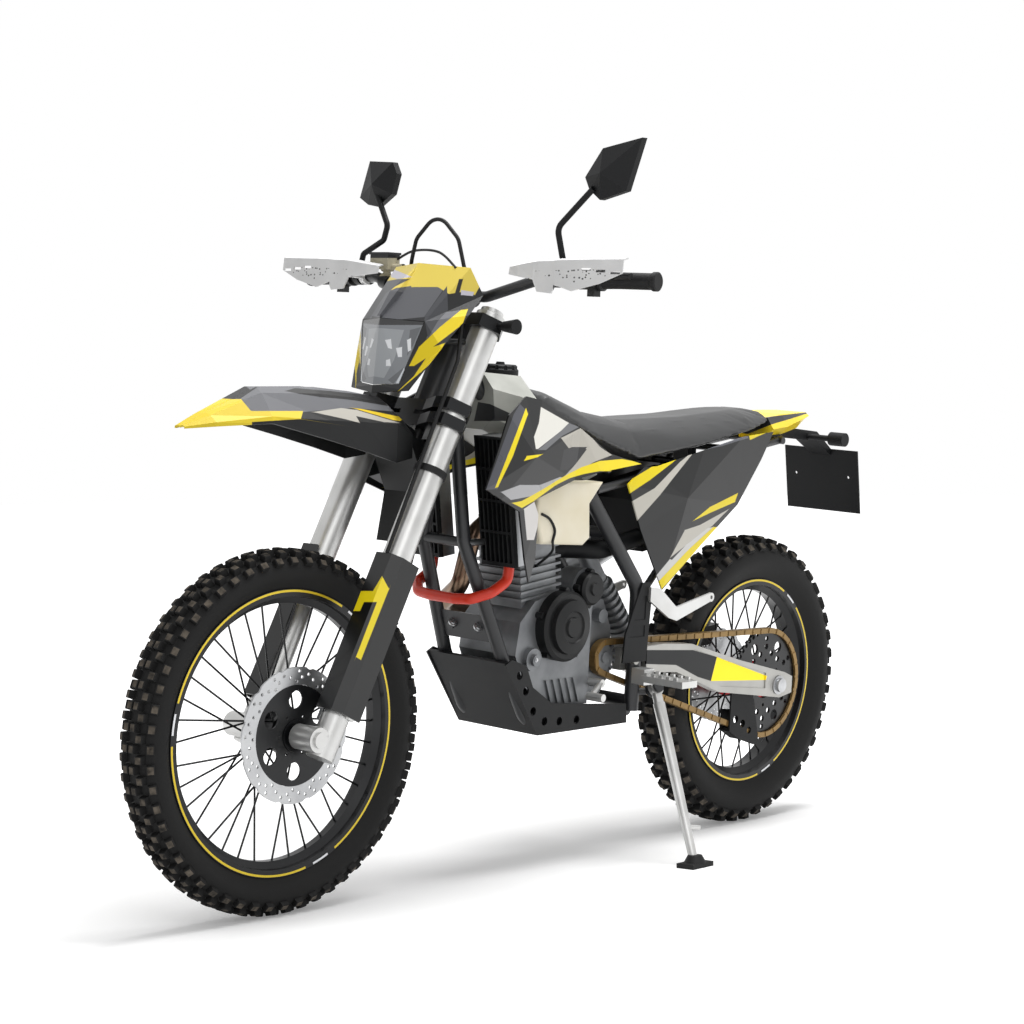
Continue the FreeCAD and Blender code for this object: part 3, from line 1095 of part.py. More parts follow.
# Headlight mask: faceted, with a raised fin over the lens and a wing on each side.
MASK = [(405, 0, 1250), (365, 105, 1243), (350, 128, 1190), (392, 132, 1150), (450, 118, 1085),
        (500, 80, 1002), (520, 0, 994), (505, 0, 1140), (468, 88, 1135), (500, 55, 1013),
        (518, 0, 1009)]
MASK_HALF = [(0, 1, 8), (0, 8, 7), (1, 2, 8), (2, 3, 8), (3, 4, 8), (4, 9, 8), (4, 5, 9), (5, 6, 10),
             (5, 10, 9)]
points = [nose(x, y, z) for x, y, z in MASK] + [nose(x, -y, z) for x, y, z in MASK]
middle_points = {0: 0, 6: 6, 7: 7, 10: 10}
faces = MASK_HALF + [tuple(middle_points.get(k, k + 11) for k in face) for face in MASK_HALF]
mask = skin(points, faces, 4, V(1, 0, 0))
stays = [rod(nose(363.6, y, 1098), nose(460, y, 1098), 6) for y in (-92, 92)]
fin = loft([[nose(404, -1.5, 1248), nose(404, 1.5, 1248), nose(400, 1.5, 1240), nose(400, -1.5, 1240)],
            [nose(470, -10, 1192), nose(470, 10, 1192), nose(440, 12, 1190), nose(440, -12, 1190)],
            [nose(509, -3, 1143), nose(509, 3, 1143), nose(498, 4, 1144), nose(498, -4, 1144)]])
mask = fuse(mask, *stays, fin)
node("headlight_mask", mask, STEERED)
lens_front = [nose(504, 0, 1139), nose(468, 86, 1134), nose(499.5, 54, 1014), nose(517, 0, 1010),
              nose(499.5, -54, 1014), nose(468, -86, 1134)]
lens_back = [nose(430, 0, 1130), nose(430, 60, 1125), nose(455, 40, 1020), nose(455, 0, 1018),
             nose(455, -40, 1020), nose(430, -60, 1125)]
caps = ((0, 1, 2), (0, 2, 3), (0, 3, 4), (0, 4, 5))
walls = [[corners[k] for k in cap] for corners in (lens_front, lens_back) for cap in caps]
for k in range(6):
    a, b = lens_front[k], lens_front[(k + 1) % 6]
    c, d = lens_back[(k + 1) % 6], lens_back[k]
    walls += [[a, b, c], [a, c, d]]
node("headlight_lens", closed(walls).cut(mask), STEERED)

# Handlebar, held by two risers on the upper clamp. What it carries is placed along it.
BAR_RADIUS = size("bar_radius")
BAR_HALF = size("bar_half")
BAR = [nose(312, 0, 1186), nose(312, 100, 1188), nose(298, 235, 1226), nose(250, BAR_HALF, 1224)]
bar = tube([V(p.x, -p.y, p.z) for p in reversed(BAR[1:])] + BAR[1:], BAR_RADIUS, 45)
BAR_AHEAD = (BAR[0] - STEER_FOOT).dot(STEER_AHEAD)
riser = rod(fork_point(UPPER + 14.3, BAR_AHEAD, 52),
            fork_point((BAR[0] - STEER_FOOT).dot(STEER_DIR), BAR_AHEAD, 52), 14).fuse(
    lateral(V(BAR[0].x, 0, BAR[0].z + 1), 20, 38, 66))
node("handlebar", bar.multiFuse([riser, mirrored(riser)]), STEERED)

grip_dir = (BAR[3] - BAR[2]).normalize()
GRIP = size("grip_length")


def on_bar(inward, radius=0.0, length=0.0, ahead=0.0, up=0.0):
    """A ring round the bar, or a point beside it, measured inward from the bar's end."""
    spot = BAR[3] - grip_dir * inward + V(ahead, 0, up)
    if not radius:
        return spot
    return rod(spot, spot + grip_dir * length, radius)


bar_room = rod(BAR[2] - grip_dir * 4, BAR[3] + grip_dir * 0.3, BAR_RADIUS + 0.3)
grip = body("grip_drawn", Place(BAR[3] - grip_dir * (GRIP - 4), Turn(V(0, 1, 0), grip_dir)), named=False)
turned(grip, [(0, 0), (21, 0), (21, 6), (17, 8), (16, 40), (16, "Sizes.grip_length - 14"),
              (18.5, "Sizes.grip_length - 10"), (18.5, "Sizes.grip_length - 2"),
              (16, "Sizes.grip_length"), (0, "Sizes.grip_length")])
grip_room = doc.addObject("Part::Feature", "grip_room")
grip_room.Shape = bar_room
grip_fitted = doc.addObject("Part::Cut", "grip_fitted")
grip_fitted.Base = grip
grip_fitted.Tool = grip_room
pair("grips", grip_fitted, STEERED)

perch = fuse(on_bar(171, 19, 25), Part.makeBox(26, 22, 16, on_bar(170, ahead=8, up=-6)))
lever = tube([on_bar(160, ahead=22, up=0), on_bar(156, ahead=48, up=3), on_bar(108, ahead=44, up=7),
              on_bar(20, ahead=48, up=8)], 6, 20)
switch = fuse(on_bar(144, 21, 20), Part.makeBox(18, 18, 30, on_bar(143, ahead=-6, up=-32)))
lever_left = fuse(perch, lever).cut(bar_room)
switch = switch.cut(bar_room)
reservoir = Part.makeBox(34, 52, 30, nose(286, -230, 1241))
reservoir_cap = Part.makeBox(38, 56, 5, nose(284, -232, 1270))
SLOPE = [V(BAR[k].x, -BAR[k].y, BAR[k].z) for k in (1, 2)]
slope_dir = (SLOPE[1] - SLOPE[0]).normalize()
saddle = rod(SLOPE[0] + slope_dir * 88, SLOPE[0] + slope_dir * 112, 17)
foot_post = rod(SLOPE[0] + slope_dir * 100 + V(0, 0, 9), nose(302, -200, 1246), 8)
pump_barrel = rod(nose(302, -210, 1244), nose(302, -150, 1244), 8)
slope_room = rod(SLOPE[0] - slope_dir * 20, SLOPE[0] + slope_dir * 200, BAR_RADIUS + 0.3)
master = fuse(saddle, foot_post, reservoir, reservoir_cap, pump_barrel).cut(slope_room)
node("control_levers", Part.makeCompound([lever_left, switch, mirrored(lever_left), mirrored(switch), master]),
     STEERED)

# Handguards: open blades in front of the levers, folded back along the top.
BLADE = [(300, 338, 1246, 1232), (271, 345, 1250, 1228), (225, 350, 1256, 1222), (212, 351, 1257, 1199),
         (175, 351, 1258, 1196), (165, 351, 1259, 1212), (126, 349, 1260, 1201), (60, 344, 1261, 1216),
         (8, 338, 1262, 1236)]
blade = [[], [], []]
for inward, x, top, low in BLADE:
    y = BAR_HALF - inward
    blade[0].append(nose(x - 13, y, top + 4))
    blade[1].append(nose(x, y, top))
    blade[2].append(nose(x + 3, y, low))
handguard = grid_skin(blade, 3, V(1, 0, 0))
slots_room = [Part.makeBox(40, 24, 5, nose(330, BAR_HALF - 105 + 34 * k, 1240 - 3 * k)) for k in range(3)]
clip = fuse(on_bar(230, 17, 16), rod(on_bar(222, ahead=12), nose(351, BAR_HALF - 219, 1230), 6))
handguard = fuse(handguard.cut(Part.makeCompound(slots_room)), clip.cut(bar_room))
node("handguards", both(handguard), STEERED)


def mirror_head(rim, apex, depth):
    """A mirror housing: a faceted shell ahead of a flat glass, from rim corners and an apex."""
    back = [spot - V(depth, 0, 0) for spot in rim]
    centre = sum(back[1:], back[0]) * (1 / len(back))
    walls = []
    for k in range(len(rim)):
        a, b, c, d = rim[k], rim[(k + 1) % len(rim)], back[(k + 1) % len(rim)], back[k]
        walls += [[apex, a, b], [a, d, b], [b, d, c], [centre, c, d]]
    return closed(walls)


LEFT_RIM = [nose(285, 466, 1491), nose(300, 381, 1472), nose(305, 343, 1418), nose(302, 352, 1395),
            nose(300, 378, 1375), nose(285, 430, 1392)]
RIGHT_RIM = [nose(285, -278, 1464), nose(300, -193, 1459), nose(300, -180, 1435), nose(300, -193, 1394),
             nose(295, -239, 1369), nose(290, -274, 1374), nose(285, -305, 1389)]
left_stem = tube([on_bar(197, ahead=4, up=14), on_bar(196, ahead=18, up=40), nose(312, 283, 1322),
                  nose(306, 366, 1396)], 6, 24)
left_clamp = on_bar(206, 17, 18).cut(bar_room)
right_stem = tube([V(on_bar(197).x + 4, -on_bar(197).y, on_bar(197).z + 14), nose(304, -268, 1272),
                   nose(308, -204, 1300), nose(310, -192, 1330), nose(300, -242, 1404)], 6, 14)
left_mirror = fuse(left_clamp, left_stem, mirror_head(LEFT_RIM, nose(322, 395, 1424), 14)).cut(bar_room)
right_mirror = fuse(mirrored(left_clamp), right_stem, mirror_head(RIGHT_RIM, nose(318, -236, 1414), 14)).cut(
    mirrored(bar_room))
node("mirrors", Part.makeCompound([left_mirror, right_mirror]), STEERED)

stalk = rod(nose(317, 141, 1131), nose(322, 164, 1131), 6).fuse(
    Part.makeCone(10, 15, 34, nose(322, 160, 1131), V(0, 1, 0)))
node("front_indicators", both(stalk.cut(clamp(UPPER - 12.3, 26.6))), STEERED)

# Brake hose: from the master cylinder in a loop over the mask, then down the left leg.
HOSE = [nose(302, -149.5, 1244), nose(302, -116, 1244), nose(358, -72, 1244), nose(362, -52, 1300),
        nose(356, 0, 1352), nose(348, 52, 1300), nose(346, 76, 1222), fork_point(UPPER - 98, 74, 118),
        fork_point(LOWER - 189, 66, 112), fork_point(FOOT + 20.4, 59, 112)]
hose_clip = leg(925, 938, UPPER_TUBE + 4).cut(leg(900, 960, UPPER_TUBE + 0.3))
hose_clip = hose_clip.fuse(rod(fork_point(931, LEAD + 31, 108), fork_point(931, 67, 112), 5))
node("brake_hose", tube(HOSE, 4, 34).fuse(hose_clip), STEERED)

doc.recompute()
for item in checked:
    if "Invalid" in item.State or "Error" in item.State:
        raise RuntimeError(f"{item.Name} of {item.Label} failed: {item.State}")
os.makedirs("parts", exist_ok=True)
for item in nodes:
    if item.Shape.isNull() or not item.Shape.isValid():
        raise RuntimeError(f"{item.Label} is not a valid shape")
for item in nodes:
    item.Shape.exportStep(f"parts/{item.Label}.step")
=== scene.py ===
import math
import bmesh
import bpy
from mathutils import Matrix, Vector
from mathutils.geometry import tessellate_polygon


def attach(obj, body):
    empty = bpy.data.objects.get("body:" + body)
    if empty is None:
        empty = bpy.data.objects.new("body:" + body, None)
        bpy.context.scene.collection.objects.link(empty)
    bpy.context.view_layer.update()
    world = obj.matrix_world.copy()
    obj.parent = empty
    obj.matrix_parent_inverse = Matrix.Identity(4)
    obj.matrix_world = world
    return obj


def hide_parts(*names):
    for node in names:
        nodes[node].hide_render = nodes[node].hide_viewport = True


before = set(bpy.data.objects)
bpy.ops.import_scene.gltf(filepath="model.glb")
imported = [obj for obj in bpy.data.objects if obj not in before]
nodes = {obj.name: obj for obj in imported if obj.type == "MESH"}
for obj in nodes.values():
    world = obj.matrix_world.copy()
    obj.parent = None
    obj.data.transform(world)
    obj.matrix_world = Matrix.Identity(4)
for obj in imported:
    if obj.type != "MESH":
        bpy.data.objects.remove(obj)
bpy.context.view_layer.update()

# Camera: a short telephoto held low in front of the bike's left side. Its place and tilt follow
# from the perspective of the two wheels in the photograph.
FRAME_PIXELS = 1024
FOCAL_PIXELS = 2518.8
SENSOR_MM = 36
CAMERA_PLACE = (4.0222, 3.3896, 0.8867)
CAMERA_YAW, CAMERA_PITCH, CAMERA_ROLL = -2.4247, -0.0266, -0.0131


def look(yaw, pitch, roll):
    """The turn of a camera that looks along a yaw and pitch, with its own roll, in radians."""
    ahead = Vector((math.cos(pitch) * math.cos(yaw), math.cos(pitch) * math.sin(yaw), math.sin(pitch)))
    across = ahead.cross(Vector((0, 0, 1))).normalized()
    above = across.cross(ahead)
    right = math.cos(roll) * across + math.sin(roll) * above
    up = math.cos(roll) * above - math.sin(roll) * across
    return Matrix((right, up, -ahead)).transposed()


camera_turn = look(CAMERA_YAW, CAMERA_PITCH, CAMERA_ROLL).to_4x4()
photographer = Matrix.Translation(CAMERA_PLACE) @ camera_turn
camera = bpy.data.objects.new("camera", bpy.data.cameras.new("camera"))
camera.data.sensor_width = SENSOR_MM
camera.data.lens = FOCAL_PIXELS / FRAME_PIXELS * SENSOR_MM
camera.data.clip_end = 60
camera.matrix_world = photographer
bpy.context.scene.collection.objects.link(camera)
bpy.context.scene.camera = camera
bpy.context.scene.view_settings.view_transform = "Standard"


# Studio cove: one white painted floor that keeps the bike's soft shadow, under a plain white
# surround. A painted glow, seen only by the camera, is weak under the bike and grows to pure
# white around it, so the floor near the bike is painted darker.
SHADOW_REACH = 0.9
WHITE_FROM = 2.4
FILL_UNDER_BIKE = 0.2
SURROUND_LIGHT = 0.4


def linear(code):
    """An sRGB hex colour in the linear values that Blender's nodes take."""
    values = [int(code[k:k + 2], 16) / 255 for k in (0, 2, 4)]
    return [v / 12.92 if v <= 0.04045 else ((v + 0.055) / 1.055) ** 2.4 for v in values] + [1.0]

def add(owner, kind, settings, links=()):
    """One shader node with its settings and its incoming links."""
    tree = owner.node_tree
    made = tree.nodes.new("ShaderNode" + kind)
    for key, value in settings.items():
        if isinstance(key, str) and hasattr(made, key):
            setattr(made, key, value)
        else:
            made.inputs[key].default_value = value
    for socket, source in dict(links).items():
        tree.links.new(source, made.inputs[socket])
    return made

def empty_material(name):
    made = bpy.data.materials.new(name)
    made.use_nodes = True
    made.node_tree.nodes.clear()
    return made


def seen_directly(owner):
    """One for rays from the camera and for reflections and refractions, nothing for the rest."""
    path = add(owner, "LightPath", {})
    either = add(owner, "Math", {"operation": "MAXIMUM"},
                 {0: path.outputs["Is Camera Ray"], 1: path.outputs["Is Glossy Ray"]})
    return add(owner, "Math", {"operation": "MAXIMUM"},
               {0: either.outputs[0], 1: path.outputs["Is Transmission Ray"]})


cove = empty_material("white_cove_paint_and_painted_glow")
paint = add(cove, "BsdfDiffuse", {"Color": linear("f4f4f4")})
ground = add(cove, "TexCoord", {}).outputs["Object"]
away = add(cove, "VectorMath", {"operation": "LENGTH"}, {0: ground}).outputs["Value"]
# Painted glow: its strength rises from FILL_UNDER_BIKE near the bike to full further out.
fill = add(cove, "MapRange", {"From Min": SHADOW_REACH, "From Max": WHITE_FROM,
                              "To Min": FILL_UNDER_BIKE, "To Max": 1.0}, {"Value": away})
glow = add(cove, "Emission", {"Color": linear("ffffff")}, {"Strength": fill.outputs["Result"]})
only_seen = add(cove, "MixShader", {}, {0: seen_directly(cove).outputs[0], 2: glow.outputs[0]})
total = add(cove, "AddShader", {}, {0: paint.outputs[0], 1: only_seen.outputs[0]})
add(cove, "OutputMaterial", {}, {"Surface": total.outputs[0]})
floor_mesh = bpy.data.meshes.new("floor")
floor_mesh.from_pydata([(-30, -30, 0), (30, -30, 0), (30, 30, 0), (-30, 30, 0)], [], [(0, 1, 2, 3)])
floor_mesh.materials.append(cove)
floor = bpy.data.objects.new("floor", floor_mesh)
bpy.context.scene.collection.objects.link(floor)

world = bpy.data.worlds.new("surround")
bpy.context.scene.world = world
world.use_nodes = True
world.node_tree.nodes.clear()
lit = add(world, "Background", {"Color": linear("ffffff"), "Strength": SURROUND_LIGHT})
plain = add(world, "Background", {"Color": linear("ffffff"), "Strength": 1.0})
pick = add(world, "MixShader", {},
           {0: seen_directly(world).outputs[0], 1: lit.outputs[0], 2: plain.outputs[0]})
add(world, "OutputWorld", {}, {"Surface": pick.outputs[0]})


# Lamps: two large round soft boxes, one over the bike and a weaker one on the camera's side.
def soft_box(name, place, width, watts):
    lamp = bpy.data.lights.new(name, "AREA")
    lamp.shape = "DISK"
    lamp.size = width
    lamp.energy = watts
    item = bpy.data.objects.new(name, lamp)
    item.location = place
    item.rotation_euler = (Vector((0, 0, 0.6)) - Vector(place)).to_track_quat("-Z", "Y").to_euler()
    bpy.context.scene.collection.objects.link(item)


soft_box("key_light", (-0.5, 0.5, 4.0), width=2.6, watts=165)
soft_box("side_light", (2.6, 3.6, 2.8), width=2.4, watts=24)

# Main frame and rear subframe: round steel tube, bent and welded into a cradle round the engine.
# Powder coated satin black, which leaves a soft shine and a faint orange peel.
LEAN = math.radians(5)
RAKE = math.radians(26.5)
STEER_TURN = math.radians(-3)
PARKED_SHIFT = (-0.007, -0.1056, 0.012 * math.sin(LEAN))
steer_axis = Vector((-math.sin(RAKE), 0, math.cos(RAKE)))
steer_foot = Matrix.Translation((0.851, 0, 0))
parked = Matrix.Translation(PARKED_SHIFT) @ Matrix.Rotation(-LEAN, 4, "X")
steered = parked @ steer_foot @ Matrix.Rotation(STEER_TURN, 4, steer_axis) @ steer_foot.inverted()


def photo_pixel(owner, place, mirrored=True):
    """The photograph's pixel of a point on a piece that stands at place: a fixed projection of
    the piece's own coordinates. A mirrored one gives the right side the pixels of the left."""
    where = add(owner, "TexCoord", {}).outputs["Object"]
    upright = place.inverted()
    local = add(owner, "Mapping", {"Location": upright.translation, "Rotation": upright.to_euler()},
                {"Vector": where})
    axes = add(owner, "SeparateXYZ", {}, {0: local.outputs[0]})
    side = axes.outputs["Y"]
    if mirrored:
        side = add(owner, "Math", {"operation": "ABSOLUTE"}, {0: side}).outputs[0]
    folded = add(owner, "CombineXYZ", {}, {"X": axes.outputs["X"], "Y": side, "Z": axes.outputs["Z"]})
    film = (upright @ photographer).inverted()
    seen = add(owner, "Mapping", {"Location": film.translation, "Rotation": film.to_euler()},
               {"Vector": folded.outputs[0]})
    film_axes = add(owner, "SeparateXYZ", {}, {0: seen.outputs[0]}).outputs
    across = add(owner, "Math", {"operation": "DIVIDE"}, {0: film_axes["X"], 1: film_axes["Z"]})
    up = add(owner, "Math", {"operation": "DIVIDE"}, {0: film_axes["Y"], 1: film_axes["Z"]})
    pixel_x = add(owner, "Math", {"operation": "MULTIPLY_ADD", 1: -FOCAL_PIXELS, 2: FRAME_PIXELS / 2},
                  {0: across.outputs[0]})
    pixel_y = add(owner, "Math", {"operation": "MULTIPLY_ADD", 1: FOCAL_PIXELS, 2: FRAME_PIXELS / 2},
                  {0: up.outputs[0]})
    pixel = add(owner, "CombineXYZ", {"Z": 1.0}, {"X": pixel_x.outputs[0], "Y": pixel_y.outputs[0]})
    return pixel.outputs[0]


def inside(owner, pixel, corners):
    """One within an outline of the photograph's pixels, with an edge half a pixel soft. The
    outline is cut into triangles, and a triangle is where three straight edges all face in."""
    total = None
    for three in tessellate_polygon([[Vector((x, y, 0)) for x, y in corners]]):
        points = [corners[k] for k in three]
        edges = list(zip(points, points[1:] + points[:1]))
        turn = math.copysign(1, sum(a[0] * b[1] - b[0] * a[1] for a, b in edges))
        least = None
        for a, b in edges:
            length = math.hypot(b[0] - a[0], b[1] - a[1]) * turn
            line = ((a[1] - b[1]) / length, (b[0] - a[0]) / length, (a[0] * b[1] - b[0] * a[1]) / length)
            far = add(owner, "VectorMath", {"operation": "DOT_PRODUCT", 1: line}, {0: pixel})
            far = far.outputs["Value"]
            if least is not None:
                far = add(owner, "Math", {"operation": "MINIMUM"}, {0: least, 1: far}).outputs[0]
            least = far
        share = add(owner, "Math", {"operation": "MULTIPLY_ADD", "use_clamp": True, 1: 2.0, 2: 0.5},
                    {0: least}).outputs[0]
        if total is not None:
            share = add(owner, "Math", {"operation": "ADD", "use_clamp": True},
                        {0: total, 1: share}).outputs[0]
        total = share
    return total


def coated(name, light, dark, rough, grain_mm, depth_mm, metallic=0.0, coat=0.0, patch_mm=70.0,
           mirror=0.5, marks=(), own_marks=(), place=None):
    """A finish whose tone and shine drift a little over patch_mm. Its grain is at least twice
    as coarse as the real one, so that it shows. Marks are colours with their outlines in the
    photograph's pixels, mirrored onto the right side, and own_marks aren't mirrored. Most are
    print, and some are painted shade, highlight and reflection."""
    made = empty_material(name)
    where = add(made, "TexCoord", {}).outputs["Object"]
    drift = add(made, "TexNoise", {"Scale": 1000 / patch_mm, "Detail": 3.0}, {"Vector": where})
    grain = add(made, "TexNoise", {"Scale": 1000 / grain_mm, "Detail": 2.0}, {"Vector": where})
    tone = add(made, "ValToRGB", {}, {"Fac": drift.outputs["Fac"]})
    for stop, at, code in zip(tone.color_ramp.elements, (0.3, 0.7), (dark, light)):
        stop.position = at
        stop.color = linear(code)
    colour = tone.outputs["Color"]
    # Marks are print, and on some pieces painted shade, highlight and reflection.
    for mirrored, printed in ((True, marks), (False, own_marks)):
        pixel = photo_pixel(made, place or parked, mirrored) if printed else None
        for code, *outlines in printed:
            for outline in outlines:
                share = inside(made, pixel, outline)
                colour = add(made, "MixRGB", {2: linear(code)}, {0: share, 1: colour}).outputs[0]
    shine = add(made, "MapRange", {"To Min": max(rough - 0.07, 0.03), "To Max": rough + 0.07},
                {"Value": drift.outputs["Fac"]})
    relief = add(made, "Bump", {"Strength": 0.5, "Distance": depth_mm / 1000},
                 {"Height": grain.outputs["Fac"]})
    shader = add(made, "BsdfPrincipled",
                 {"Metallic": metallic, "Coat Weight": coat, "Specular IOR Level": mirror},
                 {"Base Color": colour, "Roughness": shine.outputs["Result"],
                  "Normal": relief.outputs["Normal"]})
    add(made, "OutputMaterial", {}, {"Surface": shader.outputs[0]})
    return made


def dress(names, finish):
    """Gives every slot of the named pieces one finish."""
    for name in names.split():
        slots = nodes[name].data.materials
        for k in range(len(slots)):
            slots[k] = finish
        if not slots:
            slots.append(finish)


powder_coat = coated("satin_black_powder_coat", "222326", "18191b",
                     rough=0.42, grain_mm=1.2, depth_mm=0.05)
dress("main_frame rear_subframe", powder_coat)

# Engine: cases, cylinder and fins are sand-cast aluminium, bead blasted to an even matt grey.
# The pressed covers bolted on their sides carry black enamel.
cast_aluminium = coated("bead_blasted_cast_aluminium", "8f9193", "6d6f72",
                        rough=0.5, grain_mm=1.6, depth_mm=0.25, metallic=0.7)
dress("engine_cases front_sprocket", cast_aluminium)
cover_paint = coated("black_engine_enamel", "0f1011", "0b0c0d",
                     rough=0.46, grain_mm=1.0, depth_mm=0.12, mirror=0.25)
dress("engine_covers", cover_paint)

# Engine screws: zinc plated steel on round washers, two through the cradle's mounting plate and
# one in the case. The plating gives them a bright, slightly blue shine.
zinc_plate = coated("zinc_plated_steel", "c4c5c6", "a7a8aa",
                    rough=0.3, grain_mm=0.6, depth_mm=0.02, metallic=0.9)
WASHER_SHARE = 0.4
SUNK = 0.001


def on_surface(x, y):
    """The first point of the bike behind a pixel of the photograph, and its normal."""
    film = Vector((x - FRAME_PIXELS / 2, FRAME_PIXELS / 2 - y, -FOCAL_PIXELS))
    ray = photographer.to_3x3() @ film
    bpy.context.view_layer.update()
    _, place, normal, _, _, _ = bpy.context.scene.ray_cast(
        bpy.context.evaluated_depsgraph_get(), photographer.translation, ray.normalized())
    return place, normal


def screws(name, body, finish, heads, thick=0.004):
    """Round washers with hexagon heads on the surface, each a pixel and a radius in metres."""
    shape = bmesh.new()
    for x, y, radius in heads:
        place, normal = on_surface(x, y)
        seat = Matrix.Translation(place) @ normal.to_track_quat("Z", "Y").to_matrix().to_4x4()
        washer = (24, radius, -SUNK, thick * WASHER_SHARE)
        hexagon = (6, radius * 0.62, 0.0, thick)
        for sides, wide, low, high in (washer, hexagon):
            middle = seat @ Matrix.Translation((0, 0, (low + high) / 2))
            bmesh.ops.create_cone(shape, cap_ends=True, segments=sides, radius1=wide,
                                  radius2=wide * 0.94, depth=high - low, matrix=middle)
    mesh = bpy.data.meshes.new(name)
    shape.to_mesh(mesh)
    shape.free()
    mesh.materials.append(finish)
    made = bpy.data.objects.new(name, mesh)
    bpy.context.scene.collection.objects.link(made)
    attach(made, body)


screws("engine_screws", "chassis", zinc_plate,
       [(453, 622, 0.010), (478, 627, 0.010), (536, 660, 0.005)])

# Exhaust: a thin stainless header bent from tube, tinted straw and bronze by the hot gas, and a
# brushed aluminium can with a soft, streaky shine.
tinted_steel = coated("heat_tinted_stainless_steel", "8a7460", "5c4a40",
                      rough=0.3, grain_mm=2.0, depth_mm=0.02, metallic=1.0, patch_mm=90)
dress("exhaust_header", tinted_steel)
brushed_aluminium = coated("brushed_aluminium_can", "a9abad", "8e9092",
                           rough=0.36, grain_mm=0.8, depth_mm=0.03, metallic=1.0)
dress("silencer", brushed_aluminium)

# Radiators and louvres: brazed aluminium cores, left bare, behind grilles of black polypropylene.
# The mouldings have a fine leather-like grain that keeps them matt.
dress("radiators", brushed_aluminium)
moulded_black = coated("moulded_black_polypropylene", "101113", "0b0c0d",
                       rough=0.55, grain_mm=1.4, depth_mm=0.12, mirror=0.22)
dress("radiator_louvres", moulded_black)

# Coolant hoses: reinforced silicone in bright red, pushed over the radiators' necks. The weave
# just shows through the smooth outer skin.
red_silicone = coated("red_silicone_hose", "e23a1c", "cc2a10", rough=0.4, grain_mm=1.5, depth_mm=0.05)
dress("coolant_hoses", red_silicone)

# Airbox and frame guards: the same matt black polypropylene. The airbox is a blow moulded box
# behind the cylinder, and the guards are clipped over the frame beside the pegs.
dress("intake frame_guards", moulded_black)

# Skid plate: thick black polyethylene, heat bent up in front and along its sides. It is waxy and
# a little scratched, so its shine is low.
skid_plastic = coated("black_polyethylene_plate", "101113", "0b0c0d",
                      rough=0.5, grain_mm=1.8, depth_mm=0.1, mirror=0.25)
dress("skid_plate", skid_plastic)

# Tanks: the fuel tank and the cream tank below it are rotation moulded in natural polyethylene,
# which stays milky and soft in its shine. The fuel tank is that same plastic painted a darker
# grey, as painted shade. A dark decal covers the fuel tank's shoulder.
tank_plastic = coated("natural_polyethylene_tank_in_painted_shade", "b2b3ac", "9c9d96",
                      rough=0.42, grain_mm=1.6, depth_mm=0.06, marks=[
    # shoulder decal
    ("2c2d2e", [(478, 402), (490, 404), (516, 416), (512, 421), (488, 421), (474, 421)])])
dress("fuel_tank", tank_plastic)
cream_plastic = coated("cream_polyethylene_tank", "f2ead4", "e8dec2",
                       rough=0.42, grain_mm=1.6, depth_mm=0.05)
dress("side_tank", cream_plastic)
dress("tank_cap", moulded_black)

# Tank shrouds: gloss moulded panels, screwed to the tank under one printed film of black, yellow,
# white and greys.
shroud_film = coated("printed_shroud_film", "101112", "0c0d0e",
                     rough=0.3, grain_mm=2.5, depth_mm=0.03, mirror=0.35, coat=0.12, marks=[
    # grey along the front edge
    ("4a4b52", [(486, 490), (497, 489), (528, 412), (520, 404), (514, 414)]),
    # yellow blade on the front edge
    ("f6de18", [(495, 488), (498, 487), (513, 456), (528, 414), (526, 408), (508, 455)]),
    # white panel under the tank
    ("e4e2da", [(541, 407), (569, 423), (562, 430), (538, 449), (536, 449), (534, 437), (539, 423)]),
    # grey shadow of the panel
    ("6c6d70", [(562, 430), (569, 423), (579, 427), (562, 436), (546, 450), (538, 450)]),
    # warm grey flame
    ("bab6ac", [(577, 430), (583, 427), (600, 447), (612, 455), (594, 462), (566, 478), (562, 479),
                (575, 465), (587, 449), (571, 451), (561, 438)]),
    # black notch in the flame
    ("2a2a2c", [(564, 450), (572, 447), (587, 447), (577, 462), (567, 470), (560, 470)]),
    # grey band under the notch
    ("b0b0b2", [(501, 492), (520, 485), (540, 485), (560, 477), (566, 478), (544, 489), (532, 496),
                (511, 500)]),
    # yellow dash and long yellow sweep
    ("f6de18", [(524, 461), (527, 456), (543, 454), (538, 457)],
     [(512, 503), (522, 501), (545, 488), (556, 481), (570, 473), (582, 467), (600, 461), (622, 459),
      (643, 463), (633, 472), (600, 471), (584, 474), (570, 478), (556, 485), (534, 501), (522, 508)]),
    # pale lower point
    ("dcd9d6", [(524, 509), (534, 502), (541, 500), (540, 518), (534, 540), (527, 540)])])
dress("tank_shrouds", shroud_film)

# Tank vent hose: black EPDM rubber, clipped in a loop on the cream tank and led down to the
# cylinder behind it. It is matt, with a dusty skin.
VENT_LOOP_PIXELS = [(541, 514), (549, 519), (554, 530), (552, 541)]
VENT_FOOT_PIXEL = (536, 566)
VENT_RADIUS = 0.0028
STEPS_PER_POINT = 12
hose_rubber = coated("black_epdm_hose", "0e0e0f", "0a0a0b",
                     rough=0.6, grain_mm=0.8, depth_mm=0.08, mirror=0.3)


